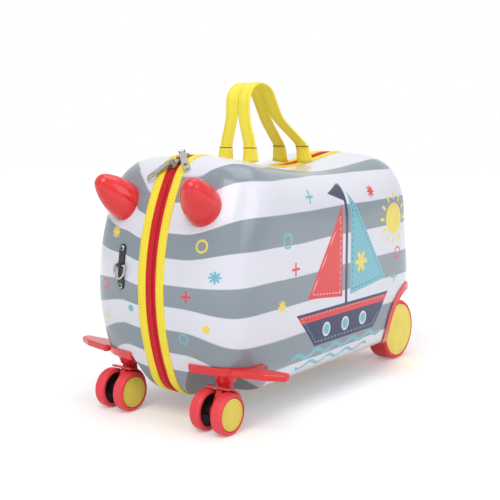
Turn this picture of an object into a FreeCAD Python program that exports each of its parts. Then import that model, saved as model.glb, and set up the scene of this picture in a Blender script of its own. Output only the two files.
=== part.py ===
"""Ride-on suitcase: two hinged shell halves on casters and rear wheels, with grips and straps.

Millimetres. +X is forward, +Y is the rider's left and +Z is up. The origin lies on the floor,
under the middle of the whole case. Left pieces are modelled, and right pieces mirror them.
"""
import FreeCAD, Part
import math
import os

Vector = FreeCAD.Vector
ACROSS = Vector(0, 1, 0)
UP = Vector(0, 0, 1)
ALONG = Vector(1, 0, 0)

# Clearances and overruns that all pieces share
FIT = 0.05
SEAT_GAP = 0.1
MOVING_GAP = 0.4
OVERRUN = 5.0

# Shell of the closed case
SHELL_LENGTH = 482.0
SHELL_WIDTH = 252.0
SHELL_HEIGHT = 309.0
GROUND_CLEARANCE = 31.0
SHELL_WALL = 2.4
SEAM_GAP = 20.0
SIDE_DRAW_IN = 90.0
SIDE_ROUNDING_POWER = 3.5
SECTION_ANGLES = (10, 25, 40, 55, 68, 79, 86, 90)

# Corners of the side outline: chin, bow, brow, seat, tail, hip and heel,
# each as a share of the length behind the front and of the height above the underside
OUTLINE_SHARES = (
    (0.069, 0.0),
    (-0.061, 0.505),
    (0.110, 1.003),
    (0.552, 0.911),
    (0.948, 1.016),
    (1.008, 0.434),
    (1.002, 0.0),
)
CHIN, BOW, BROW, SEAT, TAIL, HIP, HEEL = range(len(OUTLINE_SHARES))
CHIN_RADIUS = 44.0
BOW_RADIUS = 290.0
BROW_RADIUS = 48.0
SEAT_RADIUS = 400.0
TAIL_RADIUS = 65.0
HIP_RADIUS = 300.0
HEEL_RADIUS = 45.0
SEAM_RADII = (CHIN_RADIUS, BOW_RADIUS, BROW_RADIUS, SEAT_RADIUS, TAIL_RADIUS, HIP_RADIUS, HEEL_RADIUS)
CHIN_SIDE_RADIUS = 22.0
BOW_SIDE_RADIUS = 60.0
BROW_SIDE_RADIUS = 22.0
SEAT_SIDE_RADIUS = 400.0
TAIL_SIDE_RADIUS = 30.0
HIP_SIDE_RADIUS = 150.0
HEEL_SIDE_RADIUS = 22.0
SIDE_RADII = (CHIN_SIDE_RADIUS, BOW_SIDE_RADIUS, BROW_SIDE_RADIUS, SEAT_SIDE_RADIUS,
              TAIL_SIDE_RADIUS, HIP_SIDE_RADIUS, HEEL_SIDE_RADIUS)
ROUNDING_FIT_SHARE = 0.98

# Lining, packing straps and buckle
LINING_GAP = 5.0
LINING_THICKNESS = 1.0
PACKING_STRAP_WIDTH = 14.0
PACKING_STRAP_THICKNESS = 1.2
PACKING_STRAP_RUN = 112.0
PACKING_STRAP_RISE = 42.0
BUCKLE_LENGTH = 52.0
BUCKLE_WIDTH = 34.0
BUCKLE_THICKNESS = 7.0
BUCKLE_CORNER = 6.0

# Zip, binding and hinge tape along the seam
SEAM_CLEARANCE = 0.3
TAPE_THICKNESS = 1.2
COIL_HEIGHT = 2.0
COIL_WIDTH = 6.4
BINDING_WIDTH = 13.0
BINDING_LAP = 1.5
BINDING_THICKNESS = 2.0
HINGE_END_SETBACK = 40.0

# Zip sliders on the brow, and their pulls
SLIDER_ANGLES = (49.0, 71.0)
PULL_SIDES = (-1, 1)
SLIDER_LENGTH_ANGLE = 16.0
SLIDER_ROOF = 2.6
SLIDER_FLANGE = 1.8
POST_LENGTH = 2.0
POST_WIDTH = 3.0
PIN_RADIUS = 1.1
PIN_LENGTH = 9.0
PIN_LIFT = 1.8
EYE_WALL = 1.1
EYE_LENGTH = 4.4
PULL_LENGTH = 38.0
PULL_WIDTH = 9.0
PULL_THICKNESS = 1.8
PULL_CORNER = 3.0
PULL_WINDOW_LENGTH = 9.0
PULL_WINDOW_WIDTH = 4.5
PULL_SKEWS = (38.0, 46.0)
PULL_DROOPS = (14.0, 18.0)

# Hand grips on the front corners
GRIP_SETBACK = 28.0
GRIP_SPREAD = 128.0
GRIP_HEIGHT = 275.0
GRIP_BASE_RADIUS = 24.0
GRIP_TIP_RADIUS = 13.5
GRIP_SIDE_RADIUS = 80.0
GRIP_TIP_AHEAD = 4.0
GRIP_TIP_SPREAD = 146.0
GRIP_TIP_HEIGHT = 302.0
GRIP_ROOT_DEPTH = 15.0

# Screws from the inside of the shell
SCREW_RADIUS = 2.0
SCREW_HEAD_RADIUS = 4.0
SCREW_HEAD_HEIGHT = 2.2
SCREW_HEAD_RAISE = 0.4
SCREW_DEPTH = 6.0

# Casters: stem, fork and twin wheels
CASTER_SETBACK = 45.0
CASTER_SPREAD = 165.2
CASTER_TRAIL = 17.3
CASTER_WHEEL_RADIUS = 26.2
CASTER_WHEEL_WIDTH = 16.0
CASTER_TRACK = 49.2
CASTER_TYRE_DEPTH = 5.0
CASTER_TYRE_EDGE = 4.0
CASTER_CAP_RADIUS = 20.2
CASTER_AXLE_RADIUS = 3.0
CASTER_HUB_RADIUS = 7.5
STEM_RADIUS = 4.0
STEM_SOCKET_DEPTH = 14.0
STEM_ROOT_DEPTH = 12.0
FORK_WEB = 9.0
FORK_COLLAR_RADIUS = 9.5
FORK_COLLAR_HEIGHT = 5.0
FORK_BOSS_RADIUS = 9.0
HOOD_GAP = 2.2
HOOD_WALL = 2.6
HOOD_WIDTH = 34.0
HOOD_START_ANGLE = 92.0
HOOD_SWEEP_ANGLE = 75.0

# Wheel caps of both kinds of wheel
CAP_THICKNESS = 2.4
CAP_DOME = 0.8
CAP_RECESS = 0.4
RUNNING_CLEARANCE = 0.05
CORE_RECESS_SHARE = 0.33
AXLE_START_SHARE = 0.25

# Footrest bracket under the cut lower front corner, with its foot peg
WELL_TOP = 84.0
WELL_RADIUS = 14.0
WELL_LEAN = 28.0
WELL_INNER_REACH = 32.0
WELL_REAR_REACH = 30.0
PLATE_THICKNESS = 10.5
PLATE_PROUD = 2.5
PLATE_FRONT_REACH = 33.0
PLATE_REAR_REACH = 23.0
BOSS_TOP_RADIUS = 17.0
BOSS_BOTTOM_RADIUS = 12.0
BOSS_HEIGHT = 13.5
SCREW_RING_RADIUS = 22.5
SCREW_RING_ANGLES = (125.0, 235.0, 305.0)
PEG_SPAN = 348.0
PEG_TIP_CHORD = 12.0
PEG_MIDDLE_CHORD = 24.0
PEG_ROOT_CHORD = 34.0
PEG_REAR_SETBACK = 11.0
PEG_ROOT_INSET = 21.4
PEG_MIDDLE_OUT = 23.6
PEG_TIP_RADIUS = 5.0
PEG_SHOULDER_RADIUS = 14.0
PEG_THICKNESS = 9.0
PEG_DROP = 0.6
PEG_EDGE = 3.0

# Rear wheels in their arches, and the brackets that line the arches
REAR_AXLE_BEHIND = 12.7
REAR_WHEEL_RADIUS = 48.0
REAR_WHEEL_WIDTH = 33.0
REAR_WHEEL_OUTER = 84.0
REAR_TYRE_DEPTH = 5.5
REAR_TYRE_EDGE = 5.0
REAR_CAP_RADIUS = 41.5
REAR_AXLE_RADIUS = 5.0
REAR_HUB_RADIUS = 12.0
ARCH_RADIUS = 68.0
ARCH_FLARE_RADIUS = 88.0
ARCH_FLARE_AHEAD = 35.0
ARCH_FLARE_RISE = 5.0
ARCH_INNER = 32.0
ARCH_EDGE = 8.0
LINER_WALL = 7.0
LINER_PROUD = 2.0
CHEEK_THICKNESS = 11.5
CHEEK_BOSS_RADIUS = 15.0
REAR_SCREW_ANGLES = (20.0, 66.0)
REAR_SCREW_OUT = 62.0

# Carry straps: webbing loops above sewn tabs
STRAP_SETBACK = 177.0
STRAP_STITCH_RUN = 127.0
STRAP_TOP_RUN = 48.0
STRAP_SAG_RUN = 78.0
STRAP_SAG_RISE = 38.0
STRAP_RISE = 88.0
STRAP_STITCH_RISE = 7.0
STRAP_REAR_SPLAY = 7.0
STRAP_ROOT_DEPTH = 40.0
STRAP_FRONT_RADIUS = 28.0
STRAP_REAR_RADIUS = 34.0
STRAP_SAG_RADIUS = 70.0
STRAP_FOOT_RADIUS = 22.0
STRAP_SPREAD = 41.0
STRAP_WIDTH = 18.0
STRAP_THICKNESS = 3.0
STRAP_LEAN = 6.0
TAB_WIDTH = 24.0
TAB_THICKNESS = 4.6

# D-ring plate on the right half of the front
RING_PLATE_SPREAD = 52.0
RING_PLATE_HEIGHT = 197.5
RING_PLATE_LENGTH = 58.0
RING_PLATE_WIDTH = 11.0
RING_PLATE_THICKNESS = 1.6
RIVET_PITCH = 49.0
RIVET_RADIUS = 1.6
RIVET_HEAD_RADIUS = 3.4
RIVET_HEAD_HEIGHT = 1.6
RIVET_DOME = 1.2
RIVET_TAIL_HEIGHT = 1.2
RING_WIRE_RADIUS = 1.5
RING_WIDTH = 19.0
RING_SIDE = 7.5
RING_BAR_RISE = 2.0
RING_TILT = 4.0
KEEPER_WALL = 1.2
KEEPER_LENGTH = 8.0

# Places worked out from the sizes above
GRIP_REACH = GRIP_TIP_AHEAD + GRIP_TIP_RADIUS
REAR_REACH = REAR_AXLE_BEHIND + REAR_WHEEL_RADIUS
SHELL_FRONT_X = (GRIP_REACH + SHELL_LENGTH + REAR_REACH) / 2 - GRIP_REACH
HINGE_Z = GROUND_CLEARANCE - BINDING_THICKNESS
BINDING_INNER = SEAM_GAP / 2 - BINDING_LAP
STEM = Vector(SHELL_FRONT_X - CASTER_SETBACK, CASTER_SPREAD / 2, 0)
CASTER_AXLE = STEM + Vector(CASTER_TRAIL, 0, CASTER_WHEEL_RADIUS)
REAR_AXLE = Vector(SHELL_FRONT_X - SHELL_LENGTH - REAR_AXLE_BEHIND, 0, REAR_WHEEL_RADIUS)
CHEEK_INNER = ARCH_INNER + SEAT_GAP
SLIDER_WIDTH = COIL_WIDTH + 2 * (MOVING_GAP + SLIDER_FLANGE)
PLATE_TOP = WELL_TOP - 2 * SEAT_GAP
PLATE_BOTTOM = PLATE_TOP - PLATE_THICKNESS
BOSS_BOTTOM = PLATE_BOTTOM - BOSS_HEIGHT
STITCH_Z = GROUND_CLEARANCE + SHELL_HEIGHT + STRAP_STITCH_RISE
STRAP_HINGE_Y = STRAP_SPREAD / 2 + TAB_WIDTH / 2


def inward(direction):
    """Normal to the left of an edge in the XZ plane, which points into the outline."""
    return Vector(-direction.z, 0, direction.x)


def heading(start, end):
    """Unit vector from one point to another."""
    return (end - start).normalize()


def rounded(points, radii, closed):
    """Arcs of a path's corners as start, middle, end and centre, eased where an edge is short."""
    count = len(points)
    turning = range(count) if closed else range(1, count - 1)
    halves = [0.0] * count
    reaches = [0.0] * count
    for i in turning:
        before = heading(points[i - 1], points[i])
        after = heading(points[i], points[(i + 1) % count])
        halves[i] = before.getAngle(after) / 2
        reaches[i] = radii[i] * math.tan(halves[i])
    eases = [1.0] * count
    for i in range(count if closed else count - 1):
        j = (i + 1) % count
        room = (points[j] - points[i]).Length * ROUNDING_FIT_SHARE
        if reaches[i] + reaches[j] > room:
            ease = room / (reaches[i] + reaches[j])
            eases[i] = min(eases[i], ease)
            eases[j] = min(eases[j], ease)
    corners = []
    for i in turning:
        before = heading(points[i - 1], points[i])
        after = heading(points[i], points[(i + 1) % count])
        reach = reaches[i] * eases[i]
        radius = reach / math.tan(halves[i])
        towards = (after - before).normalize()
        centre = points[i] + towards * (radius / math.cos(halves[i]))
        middle = centre - towards * radius
        corners.append((points[i] - before * reach, middle, points[i] + after * reach, centre))
    return corners


def corner_edges(corners, start, end):
    """Lines and arcs of a path through rounded corners, from a start to an end point."""
    edges = []
    last = start
    for begin, middle, finish, centre in corners:
        if last is not None:
            edges.append(Part.LineSegment(last, begin).toShape())
        edges.append(Part.Arc(begin, middle, finish).toShape())
        last = finish
    edges.append(Part.LineSegment(last, end).toShape())
    return edges


def closed_wire(points, radii):
    """Closed wire through points with rounded corners."""
    corners = rounded(points, radii, True)
    return Part.Wire(corner_edges(corners, None, corners[0][0]))


def outline_points(inset):
    """Corners of the side outline, with every edge moved inwards by the inset."""
    corners = [Vector(SHELL_FRONT_X - behind * SHELL_LENGTH, 0, GROUND_CLEARANCE + above * SHELL_HEIGHT)
               for behind, above in OUTLINE_SHARES]
    moved = []
    for i, corner in enumerate(corners):
        before = inward(heading(corners[i - 1], corner))
        after = inward(heading(corner, corners[(i + 1) % len(corners)]))
        moved.append(corner + (before + after) * (inset / (1 + before.dot(after))))
    return moved


def outline_radii(inset):
    """Corner radii of the outline at an inset, from the seam's to the side face's."""
    drawn = max(inset, 0) / SIDE_DRAW_IN
    grown = -min(inset, 0)
    return [seam + (side - seam) * drawn + grown for seam, side in zip(SEAM_RADII, SIDE_RADII)]


def outline_wire(inset, y):
    """Side outline at an inset, in the plane at that Y."""
    wire = closed_wire(outline_points(inset), outline_radii(inset))
    wire.translate(ACROSS * y)
    return wire


def half_loft(inset, start_y):
    """Solid left half, inside the shell's outer skin by the inset, without its wheel pockets."""
    wires = [outline_wire(inset, start_y)]
    for angle in SECTION_ANGLES:
        across = math.sin(math.radians(angle)) ** (2 / SIDE_ROUNDING_POWER)
        drawn = 1 - abs(math.cos(math.radians(angle))) ** (2 / SIDE_ROUNDING_POWER)
        y = (SHELL_WIDTH / 2 - inset) * across
        wires.append(outline_wire(inset + (SIDE_DRAW_IN - inset) * drawn, y))
    return Part.makeLoft(wires, True, False)


def caster_well(grown):
    """Room for the turning caster: a pocket in the lower front corner, with leaning walls."""
    lean = math.radians(WELL_LEAN)
    high = Vector(SHELL_FRONT_X + OVERRUN, SHELL_WIDTH / 2 + OVERRUN, WELL_TOP + grown)
    wires = []
    for z in (0, high.z):
        spread = (WELL_TOP - z) * math.tan(lean) + grown / math.cos(lean)
        low = STEM - Vector(WELL_REAR_REACH + spread, WELL_INNER_REACH + spread, -z)
        corners = [low, Vector(high.x, low.y, z), Vector(high.x, high.y, z), Vector(low.x, high.y, z)]
        wires.append(Part.makePolygon(corners + corners[:1]))
    pocket = Part.makeLoft(wires, True, True)
    inner_corner = Part.Vertex(low)
    inner_edges = [edge for edge in pocket.Edges if edge.distToShape(inner_corner)[0] < FIT]
    return pocket.makeFillet(WELL_RADIUS + grown, inner_edges)


def cup_edge(cylinder, y):
    """Round edge of a cylinder along Y, at its end with that Y."""
    flat = [edge for edge in cylinder.Edges if edge.BoundBox.YLength < FIT]
    return min(flat, key=lambda edge: abs(edge.CenterOfMass.y - y))


def flare_ring(y, grown):
    """Circle of the wheel arch's flare in a Y plane: it grows and moves ahead from the wheel's face."""
    depth = SHELL_WIDTH / 2 - REAR_WHEEL_OUTER
    share = (y - REAR_WHEEL_OUTER) / depth
    growth = ARCH_FLARE_RADIUS - ARCH_RADIUS
    slant = math.atan((ARCH_FLARE_AHEAD + growth) / depth)
    centre = REAR_AXLE + ACROSS * y + Vector(ARCH_FLARE_AHEAD, 0, ARCH_FLARE_RISE) * share
    return Part.Wire(Part.makeCircle(ARCH_RADIUS + growth * share + grown / math.cos(slant), centre, ACROSS))


def arch_room(grown, start):
    """Round room about the rear axle, from a Y plane outwards, with its flare."""
    end = SHELL_WIDTH / 2 + OVERRUN
    straight = Part.makeCylinder(ARCH_RADIUS + grown, end - start, REAR_AXLE + ACROSS * start, ACROSS)
    rings = [flare_ring(REAR_WHEEL_OUTER - ARCH_EDGE, grown), flare_ring(end, grown)]
    return straight.fuse(Part.makeLoft(rings, True, True))


def wheel_arch(grown):
    """Room for a rear wheel and its bracket: a round pocket from the side."""
    start = ARCH_INNER - grown
    pocket = arch_room(grown, start)
    return pocket.makeFillet(ARCH_EDGE + grown, [cup_edge(pocket, start)])


def half_body(inset, start_y):
    """Solid left half at an inset, with the caster well and the wheel arch cut out."""
    return half_loft(inset, start_y).cut([caster_well(inset), wheel_arch(inset)])


def place_box(low, high):
    """Box between two corners."""
    size = high - low
    return Part.makeBox(size.x, size.y, size.z, low)


def mirrored(shape):
    """The right-hand copy of a left piece."""
    return shape.mirror(Vector(0, 0, 0), ACROSS)


def seam_band(outer_inset, inner_inset, near_y, far_y):
    """Band that follows the seam outline, between two insets and two Y planes."""
    outer = Part.Face(outline_wire(outer_inset, near_y))
    inner = Part.Face(outline_wire(inner_inset, near_y))
    return outer.cut(inner).extrude(ACROSS * (far_y - near_y))


def wall_frame(skin, place):
    """Nearest point on a skin and its outward normal there."""
    gap, points, details = skin.distToShape(Part.Vertex(place))
    face = skin.Faces[details[0][1]]
    normal = face.normalAt(*details[0][2])
    return points[0][0], normal


def screw(point, normal):
    """Screw through the wall at a point of the outer skin, with its head inside."""
    under_head = point - normal * (SHELL_WALL + SCREW_HEAD_RAISE)
    head = Part.makeCylinder(SCREW_HEAD_RADIUS, SCREW_HEAD_HEIGHT, under_head, -normal)
    reach = SHELL_WALL + SCREW_HEAD_RAISE + SCREW_DEPTH
    shank = Part.makeCylinder(SCREW_RADIUS, reach, under_head, normal)
    return head.fuse(shank).removeSplitter()


def screw_hole(point, normal):
    """Hole for such a screw, through the wall and into what it holds."""
    start = point - normal * (SHELL_WALL + OVERRUN)
    reach = SHELL_WALL + OVERRUN + SCREW_DEPTH + FIT
    return Part.makeCylinder(SCREW_RADIUS + FIT, reach, start, normal)


def grip_axis():
    """Base and tip centres of the left hand grip."""
    base = Vector(SHELL_FRONT_X - GRIP_SETBACK, GRIP_SPREAD / 2, GRIP_HEIGHT)
    tip = Vector(SHELL_FRONT_X + GRIP_TIP_AHEAD, GRIP_TIP_SPREAD / 2, GRIP_TIP_HEIGHT)
    return base, tip


def hand_grip():
    """Egg-shaped grip: two spheres joined by a bulging side, turned about the grip's axis."""
    base, tip = grip_axis()
    length = (tip - base).Length
    to_base = GRIP_SIDE_RADIUS - GRIP_BASE_RADIUS
    to_tip = GRIP_SIDE_RADIUS - GRIP_TIP_RADIUS
    side_z = (length ** 2 + to_base ** 2 - to_tip ** 2) / (2 * length)
    side_centre = Vector(-math.sqrt(to_base ** 2 - side_z ** 2), 0, side_z)
    root_angle = math.acos(-GRIP_ROOT_DEPTH / GRIP_BASE_RADIUS)
    shoulder_angle = math.acos(-side_z / to_base)
    neck_angle = math.acos((length - side_z) / to_tip)

    def on_circle(centre, radius, angle):
        return centre + Vector(math.sin(angle), 0, math.cos(angle)) * radius

    top = UP * length
    root = on_circle(Vector(0, 0, 0), GRIP_BASE_RADIUS, root_angle)
    waist = on_circle(Vector(0, 0, 0), GRIP_BASE_RADIUS, (root_angle + shoulder_angle) / 2)
    shoulder = on_circle(Vector(0, 0, 0), GRIP_BASE_RADIUS, shoulder_angle)
    side = on_circle(side_centre, GRIP_SIDE_RADIUS, (shoulder_angle + neck_angle) / 2)
    neck = on_circle(top, GRIP_TIP_RADIUS, neck_angle)
    crown = on_circle(top, GRIP_TIP_RADIUS, neck_angle / 2)
    pole = on_circle(top, GRIP_TIP_RADIUS, 0)
    foot = Vector(0, 0, root.z)
    edges = [
        Part.LineSegment(foot, root).toShape(),
        Part.Arc(root, waist, shoulder).toShape(),
        Part.Arc(shoulder, side, neck).toShape(),
        Part.Arc(neck, crown, pole).toShape(),
        Part.LineSegment(pole, foot).toShape(),
    ]
    egg = Part.Face(Part.Wire(edges)).revolve(Vector(0, 0, 0), UP, 360)
    egg.Placement = FreeCAD.Placement(base, FreeCAD.Rotation(UP, heading(base, tip)))
    return egg


def turned(points):
    """Solid turned about the Y axis from a closed profile of (radius, y) points or arcs."""
    return Part.Face(points).revolve(Vector(0, 0, 0), ACROSS, 360)


def tyre(radius, width, depth, edge):
    """Tyre from Y 0 to its width, with rounded shoulders."""
    along = edge * (1 - math.sqrt(1 / 2))
    foot_low = Vector(radius - depth, 0, 0)
    foot_high = Vector(radius - depth, width, 0)
    low = (Vector(radius - edge, 0, 0), Vector(radius - along, along, 0), Vector(radius, edge, 0))
    high = (Vector(radius, width - edge, 0), Vector(radius - along, width - along, 0),
            Vector(radius - edge, width, 0))
    wire = [
        Part.LineSegment(foot_low, low[0]).toShape(),
        Part.Arc(*low).toShape(),
        Part.LineSegment(low[2], high[0]).toShape(),
        Part.Arc(*high).toShape(),
        Part.LineSegment(high[2], foot_high).toShape(),
        Part.LineSegment(foot_high, foot_low).toShape(),
    ]
    return turned(Part.Wire(wire))


def wheel_core(rim_radius, width, bore, hub_radius, hub_reach):
    """Core that carries the tyre, with a hub towards the inner side and room for the cap."""
    inner_face = width * CORE_RECESS_SHARE
    outer_face = width - CAP_RECESS - CAP_THICKNESS
    disc = Part.makeCylinder(rim_radius - FIT, outer_face - inner_face, ACROSS * inner_face, ACROSS)
    hub = Part.makeCylinder(hub_radius, inner_face + hub_reach + FIT, ACROSS * -hub_reach, ACROSS)
    hole = Part.makeCylinder(bore, width + hub_reach + OVERRUN, ACROSS * -(hub_reach + OVERRUN), ACROSS)
    return disc.fuse(hub).cut(hole).removeSplitter()


def domed(radius, height, dome, foot, way):
    """Disc on a foot point, whose far end is a dome of a given rise within the height."""
    ball_radius = (radius ** 2 + dome ** 2) / (2 * dome)
    latitude = math.degrees(math.asin((ball_radius - dome) / ball_radius))
    ball_centre = foot + way * (height - ball_radius)
    crown = Part.makeSphere(ball_radius, ball_centre, way, latitude, 90, 360)
    rim = Part.makeCylinder(radius, height - dome, foot, way)
    return rim.fuse(crown).removeSplitter()


def wheel_cap(radius, width):
    """Domed disc that closes the outer side of a wheel."""
    under = width - CAP_RECESS - CAP_THICKNESS + FIT
    return domed(radius, CAP_THICKNESS - FIT + CAP_DOME, CAP_DOME, ACROSS * under, ACROSS)


def set_wheel(shape, outer_y, width, axle, outwards):
    """Wheel piece moved to its axle, with its outer face at a distance towards the outer side."""
    if not outwards:
        shape = mirrored(shape)
    side = 1 if outwards else -1
    shape = shape.copy()
    shape.translate(axle + ACROSS * (side * (outer_y - width)))
    return shape


def caster_wheel(outwards):
    """Tyre, core and cap of one of a caster's two wheels."""
    rim = CASTER_WHEEL_RADIUS - CASTER_TYRE_DEPTH
    hub_reach = CASTER_TRACK / 2 - CASTER_WHEEL_WIDTH - FORK_WEB / 2 - MOVING_GAP
    bore = CASTER_AXLE_RADIUS + RUNNING_CLEARANCE
    shapes = (
        tyre(CASTER_WHEEL_RADIUS, CASTER_WHEEL_WIDTH, CASTER_TYRE_DEPTH, CASTER_TYRE_EDGE),
        wheel_core(rim, CASTER_WHEEL_WIDTH, bore, CASTER_HUB_RADIUS, hub_reach),
        wheel_cap(CASTER_CAP_RADIUS, CASTER_WHEEL_WIDTH),
    )
    return [set_wheel(shape, CASTER_TRACK / 2, CASTER_WHEEL_WIDTH, CASTER_AXLE, outwards)
            for shape in shapes]


def caster_axle():
    """Pin through the fork and both wheels."""
    reach = CASTER_TRACK / 2 - CAP_RECESS - CAP_THICKNESS - MOVING_GAP
    return Part.makeCylinder(CASTER_AXLE_RADIUS, 2 * reach, CASTER_AXLE - ACROSS * reach, ACROSS)


def caster_stem():
    """Swivel pin from the fork's collar up into the bracket's socket."""
    low = STEM + UP * (BOSS_BOTTOM - STEM_ROOT_DEPTH)
    return Part.makeCylinder(STEM_RADIUS, STEM_ROOT_DEPTH + STEM_SOCKET_DEPTH - MOVING_GAP, low, UP)


def caster_fork():
    """Collar, middle web and curved hood of a caster."""
    top = BOSS_BOTTOM - MOVING_GAP
    collar = Part.makeCylinder(FORK_COLLAR_RADIUS, FORK_COLLAR_HEIGHT,
                               STEM + UP * (top - FORK_COLLAR_HEIGHT), UP)
    half_web = ACROSS * (FORK_WEB / 2)
    boss = Part.makeCylinder(FORK_BOSS_RADIUS, FORK_WEB, CASTER_AXLE - half_web, ACROSS)
    hood_radius = CASTER_WHEEL_RADIUS + HOOD_GAP
    web_points = [
        STEM + Vector(-FORK_COLLAR_RADIUS, 0, top - FORK_COLLAR_HEIGHT / 2),
        CASTER_AXLE + Vector(-hood_radius, 0, 0),
        CASTER_AXLE + Vector(0, 0, -FORK_BOSS_RADIUS),
        CASTER_AXLE + Vector(FORK_BOSS_RADIUS, 0, 0),
        STEM + Vector(FORK_COLLAR_RADIUS, 0, top - FORK_COLLAR_HEIGHT / 2),
    ]
    web_points.append(web_points[0])
    web = Part.Face(Part.makePolygon(web_points)).extrude(half_web * 2)
    web.translate(-half_web)
    hood_start = CASTER_AXLE - ACROSS * (HOOD_WIDTH / 2)
    profile = place_hood_profile(hood_radius)
    hood = profile.revolve(Vector(0, 0, 0), -ACROSS, HOOD_SWEEP_ANGLE)
    hood.rotate(Vector(0, 0, 0), -ACROSS, HOOD_START_ANGLE)
    hood.translate(hood_start)
    axle_hole = Part.makeCylinder(CASTER_AXLE_RADIUS, HOOD_WIDTH, hood_start, ACROSS)
    return collar.fuse([boss, web, hood]).cut([axle_hole, caster_stem()]).removeSplitter()


def place_hood_profile(inner_radius):
    """Cross-section of the hood, along X from the axle."""
    points = [Vector(inner_radius, 0, 0), Vector(inner_radius + HOOD_WALL, 0, 0),
              Vector(inner_radius + HOOD_WALL, HOOD_WIDTH, 0), Vector(inner_radius, HOOD_WIDTH, 0)]
    return Part.Face(Part.makePolygon(points + points[:1]))


def foot_peg():
    """Swept-back peg that stands out from the bracket's plate."""
    rear = STEM.x - PEG_REAR_SETBACK
    root_y = SHELL_WIDTH / 2 - PEG_ROOT_INSET
    tip_y = PEG_SPAN / 2
    points = [
        Vector(rear + PEG_ROOT_CHORD, root_y, 0),
        Vector(rear + PEG_MIDDLE_CHORD, SHELL_WIDTH / 2 + PEG_MIDDLE_OUT, 0),
        Vector(rear + PEG_TIP_CHORD, tip_y, 0),
        Vector(rear, tip_y, 0),
        Vector(rear, root_y, 0),
    ]
    radii = [PEG_TIP_RADIUS, PEG_SHOULDER_RADIUS, PEG_TIP_RADIUS, PEG_TIP_RADIUS, PEG_TIP_RADIUS]
    peg = Part.Face(closed_wire(points, radii)).extrude(UP * PEG_THICKNESS)
    peg = peg.makeFillet(PEG_EDGE, [edge for edge in peg.Edges if abs(edge.BoundBox.ZLength) < FIT])
    peg.translate(UP * (PLATE_TOP - PEG_DROP - PEG_THICKNESS))
    return peg


def footrest_bracket(seat):
    """Plate under the cut corner with the swivel socket's boss and the foot peg."""
    low = Vector(STEM.x - PLATE_REAR_REACH, STEM.y - PLATE_FRONT_REACH, PLATE_BOTTOM)
    high = Vector(SHELL_FRONT_X + OVERRUN, SHELL_WIDTH / 2 + OVERRUN, PLATE_TOP)
    plate = half_loft(-PLATE_PROUD, SEAM_GAP / 2).common(place_box(low, high))
    boss = Part.makeCone(BOSS_BOTTOM_RADIUS, BOSS_TOP_RADIUS, BOSS_HEIGHT, STEM + UP * BOSS_BOTTOM, UP)
    socket_radius = STEM_RADIUS + RUNNING_CLEARANCE
    socket = Part.makeCylinder(socket_radius, OVERRUN + STEM_SOCKET_DEPTH,
                               STEM + UP * (BOSS_BOTTOM - OVERRUN), UP)
    return plate.fuse([boss, foot_peg()]).cut([seat, socket]).removeSplitter()


def bracket_screw_places():
    """Points on the well's ceiling and their normals, for the footrest bracket's screws."""
    places = []
    for angle in SCREW_RING_ANGLES:
        turn = math.radians(angle)
        out = Vector(math.cos(turn), math.sin(turn), 0) * SCREW_RING_RADIUS
        places.append((STEM + out + UP * WELL_TOP, -UP))
    return places


def rear_bracket():
    """Liner of the wheel arch, with an inner cheek and a boss that hold the axle."""
    start = REAR_AXLE + ACROSS * CHEEK_INNER
    hollow = arch_room(-SEAT_GAP - LINER_WALL, CHEEK_INNER + CHEEK_THICKNESS)
    liner = wheel_arch(-SEAT_GAP).cut(hollow).common(half_loft(-LINER_PROUD, SEAM_GAP / 2))
    boss = Part.makeCylinder(CHEEK_BOSS_RADIUS, CHEEK_THICKNESS, start, ACROSS)
    arm_high = Vector(ARCH_RADIUS - SEAT_GAP - ARCH_EDGE, CHEEK_THICKNESS, CHEEK_BOSS_RADIUS)
    arm = place_box(start - UP * CHEEK_BOSS_RADIUS, start + arm_high)
    brace = arm.copy()
    brace.rotate(start, ACROSS, -REAR_SCREW_ANGLES[1])
    return liner.fuse([boss, arm, brace]).cut(rear_axle()).removeSplitter()


def rear_axle():
    """Pin that stands out of the cheek and carries the rear wheel."""
    start = CHEEK_INNER + CHEEK_THICKNESS * AXLE_START_SHARE
    end = REAR_WHEEL_OUTER - CAP_RECESS - CAP_THICKNESS - MOVING_GAP
    return Part.makeCylinder(REAR_AXLE_RADIUS, end - start, REAR_AXLE + ACROSS * start, ACROSS)


def rear_screw_places():
    """Points on the wheel arch and their normals, for the rear bracket's screws."""
    places = []
    for angle in REAR_SCREW_ANGLES:
        turn = math.radians(angle)
        spoke = Vector(math.cos(turn), 0, math.sin(turn))
        places.append((REAR_AXLE + spoke * ARCH_RADIUS + ACROSS * REAR_SCREW_OUT, -spoke))
    return places


def rear_wheel():
    """Tyre, hub and cap of the left rear wheel."""
    rim = REAR_WHEEL_RADIUS - REAR_TYRE_DEPTH
    hub_reach = REAR_WHEEL_OUTER - REAR_WHEEL_WIDTH - CHEEK_INNER - CHEEK_THICKNESS - MOVING_GAP
    bore = REAR_AXLE_RADIUS + RUNNING_CLEARANCE
    shapes = (
        tyre(REAR_WHEEL_RADIUS, REAR_WHEEL_WIDTH, REAR_TYRE_DEPTH, REAR_TYRE_EDGE),
        wheel_core(rim, REAR_WHEEL_WIDTH, bore, REAR_HUB_RADIUS, hub_reach),
        wheel_cap(REAR_CAP_RADIUS, REAR_WHEEL_WIDTH),
    )
    return [set_wheel(shape, REAR_WHEEL_OUTER, REAR_WHEEL_WIDTH, REAR_AXLE, True) for shape in shapes]


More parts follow.
